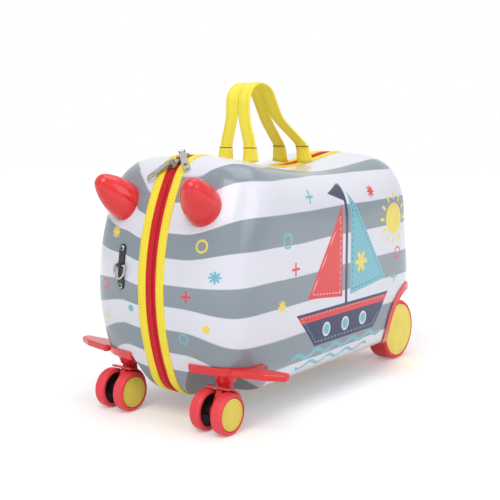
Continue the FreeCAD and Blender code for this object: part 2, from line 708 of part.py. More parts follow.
def zip_and_hinge_tape():
    """Zip tape with its half of the coil, and the plain hinge tape along the underside."""
    near = SEAM_CLEARANCE / 2
    tape = seam_band(0, TAPE_THICKNESS, near, SEAM_GAP / 2 - FIT)
    coil = seam_band(-COIL_HEIGHT, TAPE_THICKNESS / 2, near, COIL_WIDTH / 2)
    points = outline_points(0)
    low = Vector(points[HEEL].x + HINGE_END_SETBACK, -OVERRUN, 0)
    high = Vector(points[CHIN].x - HINGE_END_SETBACK, SEAM_GAP, GROUND_CLEARANCE + SHELL_HEIGHT / 2)
    underside = place_box(low, high)
    return tape.fuse(coil).removeSplitter().cut(underside), tape.common(underside)


def seam_binding(seat):
    """Sewn edging that laps over the rim of a shell half."""
    band = seam_band(-BINDING_THICKNESS - FIT, -FIT, BINDING_INNER, BINDING_INNER + BINDING_WIDTH)
    return band.cut(seat)


def strap_path(offset):
    """Centre line of a carry strap in the XZ plane, moved sideways, as its edges and ends."""
    front = SHELL_FRONT_X - STRAP_SETBACK
    top = STITCH_Z + STRAP_RISE
    rear = front - STRAP_STITCH_RUN
    base = STITCH_Z - STRAP_ROOT_DEPTH
    points = [
        Vector(front, 0, base),
        Vector(front, 0, top),
        Vector(front - STRAP_TOP_RUN, 0, top),
        Vector(front - STRAP_SAG_RUN, 0, STITCH_Z + STRAP_SAG_RISE),
        Vector(rear, 0, STITCH_Z),
        Vector(rear - STRAP_REAR_SPLAY, 0, base),
    ]
    moved = []
    for i, point in enumerate(points):
        before = inward(heading(points[max(i - 1, 0)], points[max(i, 1)]))
        after = inward(heading(points[min(i, len(points) - 2)], points[min(i + 1, len(points) - 1)]))
        moved.append(point + (before + after) * (offset / (1 + before.dot(after))))
    radii = [0, STRAP_FRONT_RADIUS - offset, STRAP_REAR_RADIUS - offset, STRAP_SAG_RADIUS + offset,
             STRAP_FOOT_RADIUS - offset, 0]
    return corner_edges(rounded(moved, radii, False), moved[0], moved[-1]), moved[0], moved[-1]


def leaning_band(thickness, width):
    """Webbing along the strap's path, leaning in towards the seam."""
    inner, inner_start, inner_end = strap_path(thickness / 2)
    outer, outer_start, outer_end = strap_path(-thickness / 2)
    foot = Part.LineSegment(inner_start, outer_start).toShape()
    end = Part.LineSegment(inner_end, outer_end).toShape()
    wire = Part.Wire(Part.sortEdges(inner + outer + [foot, end])[0])
    band = Part.Face(wire).extrude(ACROSS * width)
    band.translate(ACROSS * ((STRAP_SPREAD - width) / 2))
    band.rotate(Vector(0, STRAP_SPREAD / 2, STITCH_Z), ALONG, STRAP_LEAN)
    return band


def strap_space(low_z, high_z):
    """Slab of space round a strap between two heights."""
    low = Vector(SHELL_FRONT_X - SHELL_LENGTH, -SHELL_WIDTH, low_z)
    high = Vector(SHELL_FRONT_X, SHELL_WIDTH, high_z)
    return place_box(low, high)


def carry_strap():
    """Webbing loop above the stitch line."""
    top = STITCH_Z + STRAP_RISE + STRAP_WIDTH
    return leaning_band(STRAP_THICKNESS, STRAP_WIDTH).common(strap_space(STITCH_Z + MOVING_GAP, top))


def strap_tabs(seat):
    """Wider folded tabs between the binding and the stitch line."""
    band = leaning_band(TAB_THICKNESS, TAB_WIDTH).common(strap_space(0, STITCH_Z))
    over_binding = seam_band(-BINDING_THICKNESS - SEAT_GAP, 0, 0, BINDING_INNER + BINDING_WIDTH + FIT)
    return band.cut([seat, over_binding])


def brow_centre():
    """Centre and radius of the brow's arc, on which the zip sliders ride."""
    corner = rounded(outline_points(0), outline_radii(0), True)[BROW]
    return corner[3], (corner[1] - corner[3]).Length


def slider_frame(angle):
    """Top of a slider: its place, its outward normal and the way forward along the zip."""
    centre, radius = brow_centre()
    turn = math.radians(angle)
    normal = Vector(math.cos(turn), 0, math.sin(turn))
    forward = Vector(math.sin(turn), 0, -math.cos(turn))
    top = centre + normal * (radius + COIL_HEIGHT + MOVING_GAP + SLIDER_ROOF)
    return top, normal, forward


def pin_frame(angle, side, skew_angle):
    """Centre and direction of the pin that holds a pull which hangs to one side."""
    top, normal, forward = slider_frame(angle)
    skew = FreeCAD.Rotation(normal, -side * skew_angle)
    lift = PIN_RADIUS + RUNNING_CLEARANCE + EYE_WALL + MOVING_GAP + PIN_LIFT
    return top + normal * lift, skew.multVec(forward)


def zip_slider(angle, side, skew_angle):
    """Slider over the coil, bent to the brow's arc, with a flange on the left, two posts and a pin."""
    centre, radius = brow_centre()
    coil_top = radius + COIL_HEIGHT + MOVING_GAP
    low = radius + MOVING_GAP
    half = SLIDER_WIDTH / 2
    inside = half - SLIDER_FLANGE
    roof = coil_top + SLIDER_ROOF
    profile = [
        Vector(coil_top, -half, 0), Vector(coil_top, inside, 0), Vector(low, inside, 0),
        Vector(low, half, 0), Vector(roof, half, 0), Vector(roof, -half, 0),
    ]
    face = Part.Face(Part.makePolygon(profile + profile[:1]))
    saddle = face.revolve(Vector(0, 0, 0), -ACROSS, SLIDER_LENGTH_ANGLE)
    saddle.rotate(Vector(0, 0, 0), -ACROSS, angle - SLIDER_LENGTH_ANGLE / 2)
    saddle.translate(centre)
    pin_centre, pin_way = pin_frame(angle, side, skew_angle)
    top, normal, forward = slider_frame(angle)
    pin = Part.makeCylinder(PIN_RADIUS, PIN_LENGTH, pin_centre - pin_way * (PIN_LENGTH / 2), pin_way)
    posts = []
    height = (pin_centre - top).Length + PIN_RADIUS + SLIDER_ROOF
    corner = Vector(-POST_LENGTH / 2, -POST_WIDTH / 2, -SLIDER_ROOF)
    for end in (-1, 1):
        post = Part.makeBox(POST_LENGTH, POST_WIDTH, height, corner)
        turn = FreeCAD.Rotation(pin_way, normal.cross(pin_way), normal, "XZY")
        foot = top + pin_way * (end * (PIN_LENGTH - POST_LENGTH) / 2)
        post.Placement = FreeCAD.Placement(foot, turn)
        posts.append(post)
    coil_room = Part.makeCylinder(coil_top, SLIDER_WIDTH, centre - ACROSS * half, ACROSS)
    return saddle.fuse([pin] + [post.cut(coil_room) for post in posts]).removeSplitter()


def zip_pull(angle, side, skew_angle, droop):
    """Flat pull with an eye round the slider's pin and a window near its end."""
    pin_centre, pin_way = pin_frame(angle, side, skew_angle)
    top, normal, forward = slider_frame(angle)
    eye_radius = PIN_RADIUS + RUNNING_CLEARANCE + EYE_WALL
    eye = Part.makeCylinder(eye_radius, EYE_LENGTH, Vector(-EYE_LENGTH / 2, 0, 0), ALONG)
    blade = Part.makeBox(PULL_WIDTH, PULL_LENGTH, PULL_THICKNESS,
                         Vector(-PULL_WIDTH / 2, eye_radius + EYE_WALL, -PULL_THICKNESS / 2))
    upright = [edge for edge in blade.Edges if abs(edge.BoundBox.ZLength - PULL_THICKNESS) < FIT]
    blade = blade.makeFillet(PULL_CORNER, upright)
    neck = Part.makeBox(EYE_LENGTH, eye_radius + 2 * EYE_WALL, PULL_THICKNESS,
                        Vector(-EYE_LENGTH / 2, 0, -PULL_THICKNESS / 2))
    window_start = PULL_LENGTH - PULL_WINDOW_LENGTH
    window = Part.makeBox(PULL_WINDOW_WIDTH, PULL_WINDOW_LENGTH, 2 * PULL_THICKNESS,
                          Vector(-PULL_WINDOW_WIDTH / 2, window_start, -PULL_THICKNESS))
    bore_start = Vector(-EYE_LENGTH, 0, 0)
    bore = Part.makeCylinder(PIN_RADIUS + RUNNING_CLEARANCE, 2 * EYE_LENGTH, bore_start, ALONG)
    pull = eye.fuse([blade, neck]).cut([window, bore]).removeSplitter()
    pull.rotate(Vector(0, 0, 0), ALONG, -droop)
    reach = normal.cross(pin_way) * side
    turn = FreeCAD.Rotation(reach.cross(normal), reach, normal, "XZY")
    pull.Placement = FreeCAD.Placement(pin_centre, turn).multiply(pull.Placement)
    return pull


def ring_plate(skin):
    """Curved plate on the front, with the keeper that holds the D-ring's bar."""
    half = RING_PLATE_WIDTH / 2
    low = Vector(SHELL_FRONT_X / 2, RING_PLATE_SPREAD - half, RING_PLATE_HEIGHT - RING_PLATE_LENGTH / 2)
    high = Vector(SHELL_FRONT_X + SHELL_WALL + OVERRUN, RING_PLATE_SPREAD + half,
                  RING_PLATE_HEIGHT + RING_PLATE_LENGTH / 2)
    window = place_box(low, high)
    window = window.makeFillet(half - RUNNING_CLEARANCE, [edge for edge in window.Edges
                                                          if edge.BoundBox.XLength > RING_PLATE_LENGTH])
    layer = half_loft(-RING_PLATE_THICKNESS - FIT, SEAM_GAP / 2).common(window)
    plate = layer.cut(half_loft(-FIT, SEAM_GAP / 2).common(window))
    bar, way, out = ring_frame(skin)
    bore_radius = RING_WIRE_RADIUS + RUNNING_CLEARANCE
    keeper_radius = bore_radius + KEEPER_WALL
    keeper = Part.makeCylinder(keeper_radius, KEEPER_LENGTH, bar - way * (KEEPER_LENGTH / 2), way)
    foot = Part.makeBox(2 * keeper_radius, KEEPER_LENGTH, keeper_radius + RING_PLATE_THICKNESS,
                        Vector(-keeper_radius, -KEEPER_LENGTH / 2, 0))
    foot.Placement = FreeCAD.Placement(bar, FreeCAD.Rotation(out.cross(way), way, -out, "ZYX"))
    bore = Part.makeCylinder(bore_radius, 2 * RING_WIDTH, bar - way * RING_WIDTH, way)
    holes = [Part.makeCylinder(RIVET_RADIUS + FIT, 2 * OVERRUN, point - normal * OVERRUN, normal)
             for point, normal in rivet_places(skin)]
    whole = plate.fuse([keeper, foot.cut(half_loft(-FIT, SEAM_GAP / 2).common(window))])
    return whole.cut([bore] + holes).removeSplitter()


def ring_frame(skin):
    """Centre of the D-ring's bar, the bar's direction and the outward normal of the plate."""
    height = RING_PLATE_HEIGHT + RING_BAR_RISE
    point, out = wall_frame(skin, Vector(SHELL_FRONT_X, RING_PLATE_SPREAD, height))
    way = out.cross(UP.cross(out)).cross(out).normalize()
    lift = FIT + RING_PLATE_THICKNESS + RING_WIRE_RADIUS + 2 * MOVING_GAP
    return point + out * lift, way, out


def d_ring(skin):
    """Wire ring that hangs from the keeper: a bar, two sides and a half round."""
    bar, way, out = ring_frame(skin)
    half = RING_WIDTH / 2
    corner_left = Vector(0, half, 0)
    corner_right = Vector(0, -half, 0)
    parts = [Part.makeCylinder(RING_WIRE_RADIUS, RING_WIDTH, corner_right, ACROSS)]
    for corner in (corner_left, corner_right):
        parts.append(Part.makeSphere(RING_WIRE_RADIUS, corner))
        parts.append(Part.makeCylinder(RING_WIRE_RADIUS, RING_SIDE, corner, -UP))
    section = Part.Face(Part.Wire(Part.makeCircle(RING_WIRE_RADIUS, corner_left, UP)))
    bow = section.revolve(Vector(0, 0, 0), -ALONG, 180)
    bow.translate(UP * -RING_SIDE)
    ring = parts[0].fuse(parts[1:] + [bow]).removeSplitter()
    ring.rotate(Vector(0, 0, 0), ACROSS, -RING_TILT)
    turn = FreeCAD.Rotation(out, way, out.cross(way), "XYZ")
    ring.Placement = FreeCAD.Placement(bar, turn).multiply(ring.Placement)
    return ring


def rivet_places(skin):
    """Points and normals of the plate's two rivets."""
    places = []
    for end in (-1, 1):
        height = RING_PLATE_HEIGHT + end * RIVET_PITCH / 2
        places.append(wall_frame(skin, Vector(SHELL_FRONT_X, RING_PLATE_SPREAD, height)))
    return places


def rivet(point, normal):
    """Rivet with a domed head on the plate and a flat tail inside the shell."""
    head_seat = point + normal * (RING_PLATE_THICKNESS + 2 * SEAT_GAP)
    tail_seat = point - normal * (SHELL_WALL + 2 * SEAT_GAP)
    head = domed(RIVET_HEAD_RADIUS, RIVET_HEAD_HEIGHT, RIVET_DOME, head_seat, normal)
    tail = Part.makeCylinder(RIVET_HEAD_RADIUS, RIVET_TAIL_HEIGHT, tail_seat, -normal)
    shank = Part.makeCylinder(RIVET_RADIUS, (head_seat - tail_seat).Length, tail_seat, normal)
    return head.fuse([tail, shank]).removeSplitter()


def lining():
    """Fabric lining with a rim that reaches the shell at the seam."""
    outer_inset = SHELL_WALL + LINING_GAP
    inner_inset = outer_inset + LINING_THICKNESS
    start = SEAM_GAP / 2
    bag = half_body(outer_inset, start).cut(half_body(inner_inset, start - OVERRUN))
    rim = seam_band(SHELL_WALL + SEAT_GAP, inner_inset, start, start + LINING_THICKNESS)
    return bag.fuse(rim).removeSplitter()


def packing_centre():
    """Middle of the lining's side wall, on the side where the packing straps lie."""
    points = outline_points(SIDE_DRAW_IN)
    corners = Part.makePolygon(points).BoundBox
    depth = SHELL_WIDTH / 2 - SHELL_WALL - LINING_GAP - LINING_THICKNESS - SEAT_GAP
    return Vector(corners.Center.x, depth, corners.Center.z)


def packing_straps():
    """Four elastic arms from the corners of the side wall to the buckle."""
    centre = packing_centre()
    angle = math.degrees(math.atan2(PACKING_STRAP_RISE, PACKING_STRAP_RUN))
    start = BUCKLE_LENGTH / 2 - BUCKLE_CORNER
    length = math.hypot(PACKING_STRAP_RUN, PACKING_STRAP_RISE) - start
    arms = []
    for turn in (angle, 180 - angle, 180 + angle, -angle):
        arm = Part.makeBox(length, PACKING_STRAP_THICKNESS, PACKING_STRAP_WIDTH,
                           Vector(start, -PACKING_STRAP_THICKNESS, -PACKING_STRAP_WIDTH / 2))
        arm.rotate(Vector(0, 0, 0), ACROSS, turn)
        arm.translate(centre)
        arms.append(arm)
    return Part.makeCompound(arms)


def packing_buckle():
    """Side-release buckle where the packing straps meet."""
    centre = packing_centre()
    low = Vector(-BUCKLE_LENGTH / 2, -BUCKLE_THICKNESS, -BUCKLE_WIDTH / 2)
    depth = BUCKLE_THICKNESS - PACKING_STRAP_THICKNESS - SEAT_GAP
    body = Part.makeBox(BUCKLE_LENGTH, depth, BUCKLE_WIDTH, low)
    body = body.makeFillet(BUCKLE_CORNER, [edge for edge in body.Edges if edge.BoundBox.YLength > OVERRUN])
    body.translate(centre)
    return body


def build():
    """All pieces by name."""
    skin = half_body(0, SEAM_GAP / 2)
    seat = half_body(-SEAT_GAP, 0)
    cavity = half_body(SHELL_WALL, SEAM_GAP / 2 - OVERRUN)
    base, tip = grip_axis()
    screw_places = bracket_screw_places() + rear_screw_places() + [wall_frame(skin, base)]
    holes = [screw_hole(point, normal) for point, normal in screw_places]
    rivet_holes = [Part.makeCylinder(RIVET_RADIUS + FIT, 2 * OVERRUN, point - normal * OVERRUN, normal)
                   for point, normal in rivet_places(skin)]
    shell = skin.cut(cavity)
    zip_half, hinge_tape = zip_and_hinge_tape()
    tyre_out, core_out, cap_out = caster_wheel(True)
    tyre_in, core_in, cap_in = caster_wheel(False)
    rear_tyre, rear_hub, rear_cap = rear_wheel()
    pairs = {
        "shell": shell.cut(holes),
        "lining": lining(),
        "zip_half": zip_half,
        "hinge_tape": hinge_tape,
        "binding": seam_binding(seat),
        "hand_grip": hand_grip().cut([seat] + holes),
        "shell_screws": Part.makeCompound([screw(point, normal) for point, normal in screw_places]),
        "footrest_bracket": footrest_bracket(seat).cut(holes),
        "caster_stem": caster_stem(),
        "caster_fork": caster_fork(),
        "caster_axle": caster_axle(),
        "caster_outer_tyre": tyre_out,
        "caster_outer_core": core_out,
        "caster_outer_cap": cap_out,
        "caster_inner_tyre": tyre_in,
        "caster_inner_core": core_in,
        "caster_inner_cap": cap_in,
        "rear_bracket": rear_bracket().cut(holes),
        "rear_axle": rear_axle(),
        "rear_tyre": rear_tyre,
        "rear_hub": rear_hub,
        "rear_cap": rear_cap,
        "strap_tabs": strap_tabs(seat),
        "carry_strap": carry_strap(),
    }
    pieces = {}
    for name, shape in pairs.items():
        pieces[name + "_left"] = shape
        pieces[name + "_right"] = mirrored(shape)
    pieces["shell_right"] = mirrored(shell.cut(holes + rivet_holes))
    pieces["ring_plate"] = mirrored(ring_plate(skin))
    pieces["ring_rivets"] = mirrored(Part.makeCompound([rivet(*place) for place in rivet_places(skin)]))
    pieces["d_ring"] = mirrored(d_ring(skin))
    pieces["packing_straps"] = mirrored(packing_straps())
    pieces["packing_buckle"] = mirrored(packing_buckle())
    for k, name in enumerate(("front", "rear")):
        pin_setting = (SLIDER_ANGLES[k], PULL_SIDES[k], PULL_SKEWS[k])
        pieces["zip_slider_" + name] = zip_slider(*pin_setting)
        pieces["zip_pull_" + name] = zip_pull(*pin_setting, PULL_DROOPS[k])
    return pieces, skin


def main():
    """Write one file per piece, and print the places of the joints."""
    os.makedirs("parts", exist_ok=True)
    pieces, skin = build()
    for name, shape in pieces.items():
        shape.exportStep("parts/" + name + ".step")
        print(name, len(shape.Solids), shape.isValid(), round(shape.Volume, 1))
    centre, radius = brow_centre()
    bar, way, out = ring_frame(skin)
    print("shell front", SHELL_FRONT_X, "hinge height", HINGE_Z)
    print("stem", STEM, "caster axle", CASTER_AXLE, "rear axle", REAR_AXLE)
    print("strap hinge", STRAP_HINGE_Y, STITCH_Z)
    print("brow centre", centre, "radius", radius)
    print("ring bar, left copy", bar, way)
    for pin_setting in zip(SLIDER_ANGLES, PULL_SIDES, PULL_SKEWS):
        print("pin", pin_frame(*pin_setting))


main()
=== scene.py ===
"""Looks of the ride-on suitcase: print, webbing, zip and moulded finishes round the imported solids."""
import math

import bmesh
import bpy
from mathutils import Matrix, Vector, noise


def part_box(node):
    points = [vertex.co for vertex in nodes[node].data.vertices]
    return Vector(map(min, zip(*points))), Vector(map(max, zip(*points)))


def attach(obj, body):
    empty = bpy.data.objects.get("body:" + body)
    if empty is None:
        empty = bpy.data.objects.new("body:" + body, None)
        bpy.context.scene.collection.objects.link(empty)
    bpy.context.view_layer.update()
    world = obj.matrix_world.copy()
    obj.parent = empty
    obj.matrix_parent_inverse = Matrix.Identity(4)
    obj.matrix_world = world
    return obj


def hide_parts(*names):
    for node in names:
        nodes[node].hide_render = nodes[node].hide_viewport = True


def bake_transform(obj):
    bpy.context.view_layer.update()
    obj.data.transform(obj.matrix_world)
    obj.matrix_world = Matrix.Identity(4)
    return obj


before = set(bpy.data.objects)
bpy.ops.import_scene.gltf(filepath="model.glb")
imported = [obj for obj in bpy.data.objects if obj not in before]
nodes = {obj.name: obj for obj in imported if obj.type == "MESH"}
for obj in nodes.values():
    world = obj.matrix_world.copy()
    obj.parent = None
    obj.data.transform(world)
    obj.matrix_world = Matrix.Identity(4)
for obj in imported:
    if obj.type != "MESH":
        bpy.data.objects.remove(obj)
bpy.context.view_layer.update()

# Side outline of the shell at the seam, as corners (x, z) and their radii, in metres
SEAM_CORNERS = [(0.2293, 0.0310), (0.2920, 0.1870), (0.2096, 0.3409), (-0.0035, 0.3125),
                (-0.1943, 0.3449), (-0.2233, 0.1651), (-0.2204, 0.0310)]
SEAM_RADII = [0.044, 0.290, 0.048, 0.400, 0.065, 0.300, 0.045]

# The hinge tape lies under the case between these x, and the zip takes the rest of the seam
HINGE_FROM, HINGE_TO = -0.1804, 0.1893
HINGE_HEIGHT = 0.0310

# Carry straps: their line in the upright plane, the height of the stitch line, the lean of the
# sewn ends, how far each strap closes in on the other, from how far under the stitch line and over
# what height, and the bases and height of the tabs
STRAP_CORNERS = [(0.0856, 0.3070), (0.0856, 0.4330), (0.0376, 0.4330), (0.0076, 0.3850),
                 (-0.0414, 0.3470), (-0.0484, 0.3070)]
STRAP_RADII = [0, 0.028, 0.034, 0.070, 0.022, 0]
STRAP_MIDDLE = 0.0205
STITCH_HEIGHT = 0.347
STRAP_LEAN = math.radians(4)
STRAP_CLOSING, CLOSING_UNDER, CLOSING_OVER = 0.0102, 0.006, 0.054
FRONT_TAB_BASE, REAR_TAB_BASE, TAB_HEIGHT = 0.3262, 0.3228, 0.022

# Bands: middle, width, thickness, low face and, where they differ from plain, crown and steps across
ZIP_TAPE = (0.0050, 0.0099, 0.0012, -0.0013, 0.0, 4)
BINDING = (0.0150, 0.0130, 0.0013, 0.00012, 0.0009)
HINGE_TAPE = (0.0, 0.0196, 0.0011, 0.0001, 0.0, 16)
STRAP = (STRAP_MIDDLE, 0.020, 0.0026, -0.0013, 0.0003)
STRAP_TAB = (STRAP_MIDDLE, 0.024, 0.0042, -0.0021, 0.0002)
PACKING_BAND = (0.0, 0.014, 0.0011, -0.0005)

# Longest step along each kind of band
SEAM_STEP, HINGE_STEP, STRAP_STEP, PACKING_STEP = 0.02, 0.01, 0.006, 0.008

# Zip teeth: from one to the next, middle, length across the zip, and height
TOOTH_PITCH, TOOTH_MIDDLE, TOOTH_LENGTH, TOOTH_RISE = 0.0025, 0.00125, 0.0041, 0.0018

# Lining: how far its mouth lies from the seam, where it comes loose and over what depth, the size of
# its mesh, its thickness and its folds
LINING_MOUTH, LOOSE_AFTER, LOOSE_OVER = 0.0100, 0.006, 0.03
LINING_MESH, LINING_THICK = 0.005, 0.0007
FOLD_HEIGHT, FOLD_START, RIPPLE_HEIGHT = 0.0042, 0.45, 0.0007

# Packing bands: from the buckle's middle, the start and the reach in x and z
BAND_START, BAND_REACH_X, BAND_REACH_Z = 0.018, 0.112, 0.042

# Printed bands: the heights of their edges, grey under the first, the span of their colour ramp, the
# height about which they close up, and how far they move over the crest and at the brow
BAND_EDGES = (0.038, 0.068, 0.1075, 0.147, 0.183, 0.225, 0.265, 0.306, 0.3265)
BANDS_LOW, BANDS_HIGH, BAND_BLUR = 0.02, 0.36, 0.0012
BANDS_MIDDLE, BANDS_SHIFT = 0.1835, 0.034

# Camera of the photograph: turn and rise in degrees, distance, aim and lens
CAMERA_TURN, CAMERA_RISE, CAMERA_AWAY = 127.1, 7.5, 1.313
CAMERA_AIM = (0.0576, -0.0006, 0.2016)
CAMERA_LENS, CAMERA_SENSOR = 66.97, 36

# Lamps: name, place, size and power, all aimed at one height over the origin
LAMPS = (("key", (1.7, 0.5, 2.0), 1.4, 25),
         ("side", (0.3, 2.6, 1.5), 1.8, 17),
         ("top", (-0.3, 0.2, 2.6), 1.6, 15))
LAMP_AIM = (0, 0, 0.2)
STUDIO_LIGHT, STUDIO_SEEN = 0.42, 1.0


def paint(red, green, blue):
    """Linear colour from the 0 to 255 values that a picture of it shows."""
    parts = [value / 255 for value in (red, green, blue)]
    return tuple(p / 12.92 if p <= 0.04045 else ((p + 0.055) / 1.055) ** 2.4 for p in parts) + (1.0,)


GREY_PRINT = paint(137, 149, 159)
WHITE_PRINT = paint(226, 227, 238)
NAVY = paint(28, 36, 86)
RED = paint(230, 42, 46)
AQUA = paint(112, 188, 204)
YELLOW = paint(243, 220, 84)
CAP_YELLOW = paint(234, 214, 78)
# Painted light: the rear cap gets a lighter yellow than the caster caps, to lift the shade it sits in
SHADE_LIFTED_CAP_YELLOW = paint(250, 232, 86)
STITCH_THREAD = paint(248, 220, 52)
# Painted shade for the crease at the top of the strap tabs
CREASE_SHADE = paint(150, 100, 30)


def shaded(colour, share):
    """A darker tone of a colour."""
    return tuple(c * share for c in colour[:3]) + (1.0,)


class Term:
    """A shader value that takes part in Python arithmetic."""

    def __init__(self, finish, socket):
        self.finish = finish
        self.socket = socket

    def math(self, operation, *terms):
        return self.finish.node("ShaderNodeMath", {"operation": operation}, dict(enumerate(terms)))

    def __add__(self, other):
        return self.math("ADD", self, other)

    __radd__ = __add__

    def __sub__(self, other):
        return self.math("SUBTRACT", self, other)

    def __rsub__(self, other):
        return self.math("SUBTRACT", other, self)

    def __mul__(self, other):
        return self.math("MULTIPLY", self, other)

    __rmul__ = __mul__

    def __abs__(self):
        return self.math("ABSOLUTE", self)

    def __pow__(self, power):
        return self.math("POWER", self, power)

    def sin(self):
        return self.math("SINE", self)

    def phase(self, pitch):
        """Angle that goes round once in each pitch."""
        return self * (2 * math.pi / pitch)

    def least(self, other):
        return self.math("MINIMUM", self, other)

    def most(self, other):
        return self.math("MAXIMUM", self, other)

    def below(self, edge, soft):
        """1 under the edge and 0 over it, over a soft width."""
        return self.ramp(edge + soft / 2, edge - soft / 2)

    def ramp(self, low, high, smooth=False):
        """0 at low and 1 at high, held outside them."""
        kind = "SMOOTHSTEP" if smooth else "LINEAR"
        return self.finish.node("ShaderNodeMapRange", {"interpolation_type": kind},
                                {"Value": self, "From Min": low, "From Max": high})

    def other(self, name):
        """Another output of the node that this value comes from."""
        return Term(self.finish, self.socket.node.outputs[name])


class Finish:
    """A material's or the studio's main shader, built up from terms."""

    def __init__(self, owner, shader, constants):
        owner.use_nodes = True
        self.owner = owner
        self.tree = owner.node_tree
        self.shader = self.tree.nodes[shader]
        for socket, value in constants.items():
            self.shader.inputs[socket].default_value = value

    @classmethod
    def of_material(cls, name, constants):
        return cls(bpy.data.materials.new(name), "Principled BSDF", constants)

    def node(self, kind, settings, sockets, output=0):
        """Any shader node: its settings first, then its sockets' values or links."""
        node = self.tree.nodes.new(kind)
        for name, value in settings.items():
            if name == "stops":
                while len(node.color_ramp.elements) < len(value):
                    node.color_ramp.elements.new(1)
                for stop, (position, colour) in zip(node.color_ramp.elements, value):
                    stop.position = position
                    stop.color = colour
            else:
                setattr(node, name, value)
        for key, value in sockets.items():
            if isinstance(value, Term):
                self.tree.links.new(value.socket, node.inputs[key])
            else:
                node.inputs[key].default_value = value
        return Term(self, node.outputs[output])

    def feed(self, socket, term):
        self.tree.links.new(term.socket, self.shader.inputs[socket])

    def seen_directly(self):
        """1 for what is seen, also in a mirror or through glass, and 0 for light on the case."""
        camera = self.node("ShaderNodeLightPath", {}, {}, "Is Camera Ray")
        return camera.most(camera.other("Is Glossy Ray")).most(camera.other("Is Transmission Ray"))

    def place(self):
        """The place on the piece."""
        return self.node("ShaderNodeTexCoord", {}, {}, "Object")

    def axes(self, place):
        """x, y and z of a place."""
        x = self.node("ShaderNodeSeparateXYZ", {}, {0: place})
        return x, x.other("Y"), x.other("Z")

    def woven_place(self):
        """Length along a band and width across it."""
        return self.axes(self.node("ShaderNodeUVMap", {"uv_map": "weave"}, {}))[:2]

    def noise(self, place, scale, detail):
        return self.node("ShaderNodeTexNoise", {}, {"Vector": place, "Scale": scale, "Detail": detail})

    def mix(self, share, first, second):
        """Colour between two colours."""
        return self.node("ShaderNodeMix", {"data_type": "RGBA"}, {0: share, 6: first, 7: second}, 2)

    def relief(self, height, distance, strength):
        """Bump of the whole surface."""
        sockets = {"Height": height, "Distance": distance, "Strength": strength}
        self.feed("Normal", self.node("ShaderNodeBump", {}, sockets))


class Print:
    """A drawing on a finish: flat shapes painted over each other in two of its directions."""

    edge = 0.0009

    def __init__(self, finish, ground, across, up):
        self.finish = finish
        self.colour = ground
        self.across = across
        self.up = up

    def lay(self, shape, colour, within):
        """Paint where the shape's distance is below nothing."""
        mask = shape.below(0, self.edge) * within
        self.colour = self.finish.mix(mask, self.colour, colour)

    def disc(self, u, v, radius):
        return ((self.across - u) ** 2 + (self.up - v) ** 2) ** 0.5 - radius

    def ring(self, u, v, radius, thick):
        return abs(self.disc(u, v, radius)) - thick / 2

    def slab(self, u, v, half_u, half_v, turn=0.0):
        """Bar about a centre, turned by an angle."""
        cos, sin = math.cos(turn), math.sin(turn)
        du, dv = self.across - u, self.up - v
        long = abs(du * cos + dv * sin) - half_u
        return long.most(abs(dv * cos - du * sin) - half_v)

    def star(self, u, v, reach, thick, arms):
        """Crossed bars."""
        shape = self.slab(u, v, reach, thick)
        for k in range(1, arms):
            shape = shape.least(self.slab(u, v, reach, thick, math.pi * k / arms))
        return shape

    def panel(self, corners):
        """Filled shape with no hollow corners, listed clockwise or the other way round."""
        middle_u = sum(c[0] for c in corners) / len(corners)
        middle_v = sum(c[1] for c in corners) / len(corners)
        shape = None
        for (u, v), (next_u, next_v) in zip(corners, corners[1:] + corners[:1]):
            du, dv = next_u - u, next_v - v
            length = math.hypot(du, dv)
            nu, nv = dv / length, -du / length
            if (middle_u - u) * nu + (middle_v - v) * nv > 0:
                nu, nv = -nu, -nv
            side = self.across * nu + self.up * nv - (u * nu + v * nv)
            shape = side if shape is None else shape.most(side)
        return shape

    def wave(self, u, v, half, rise, length, thick):
        """Wavy line."""
        swell = (self.across - u).phase(length).sin() * rise
        return (abs(self.up - v - swell) - thick / 2).most(abs(self.across - u) - half)


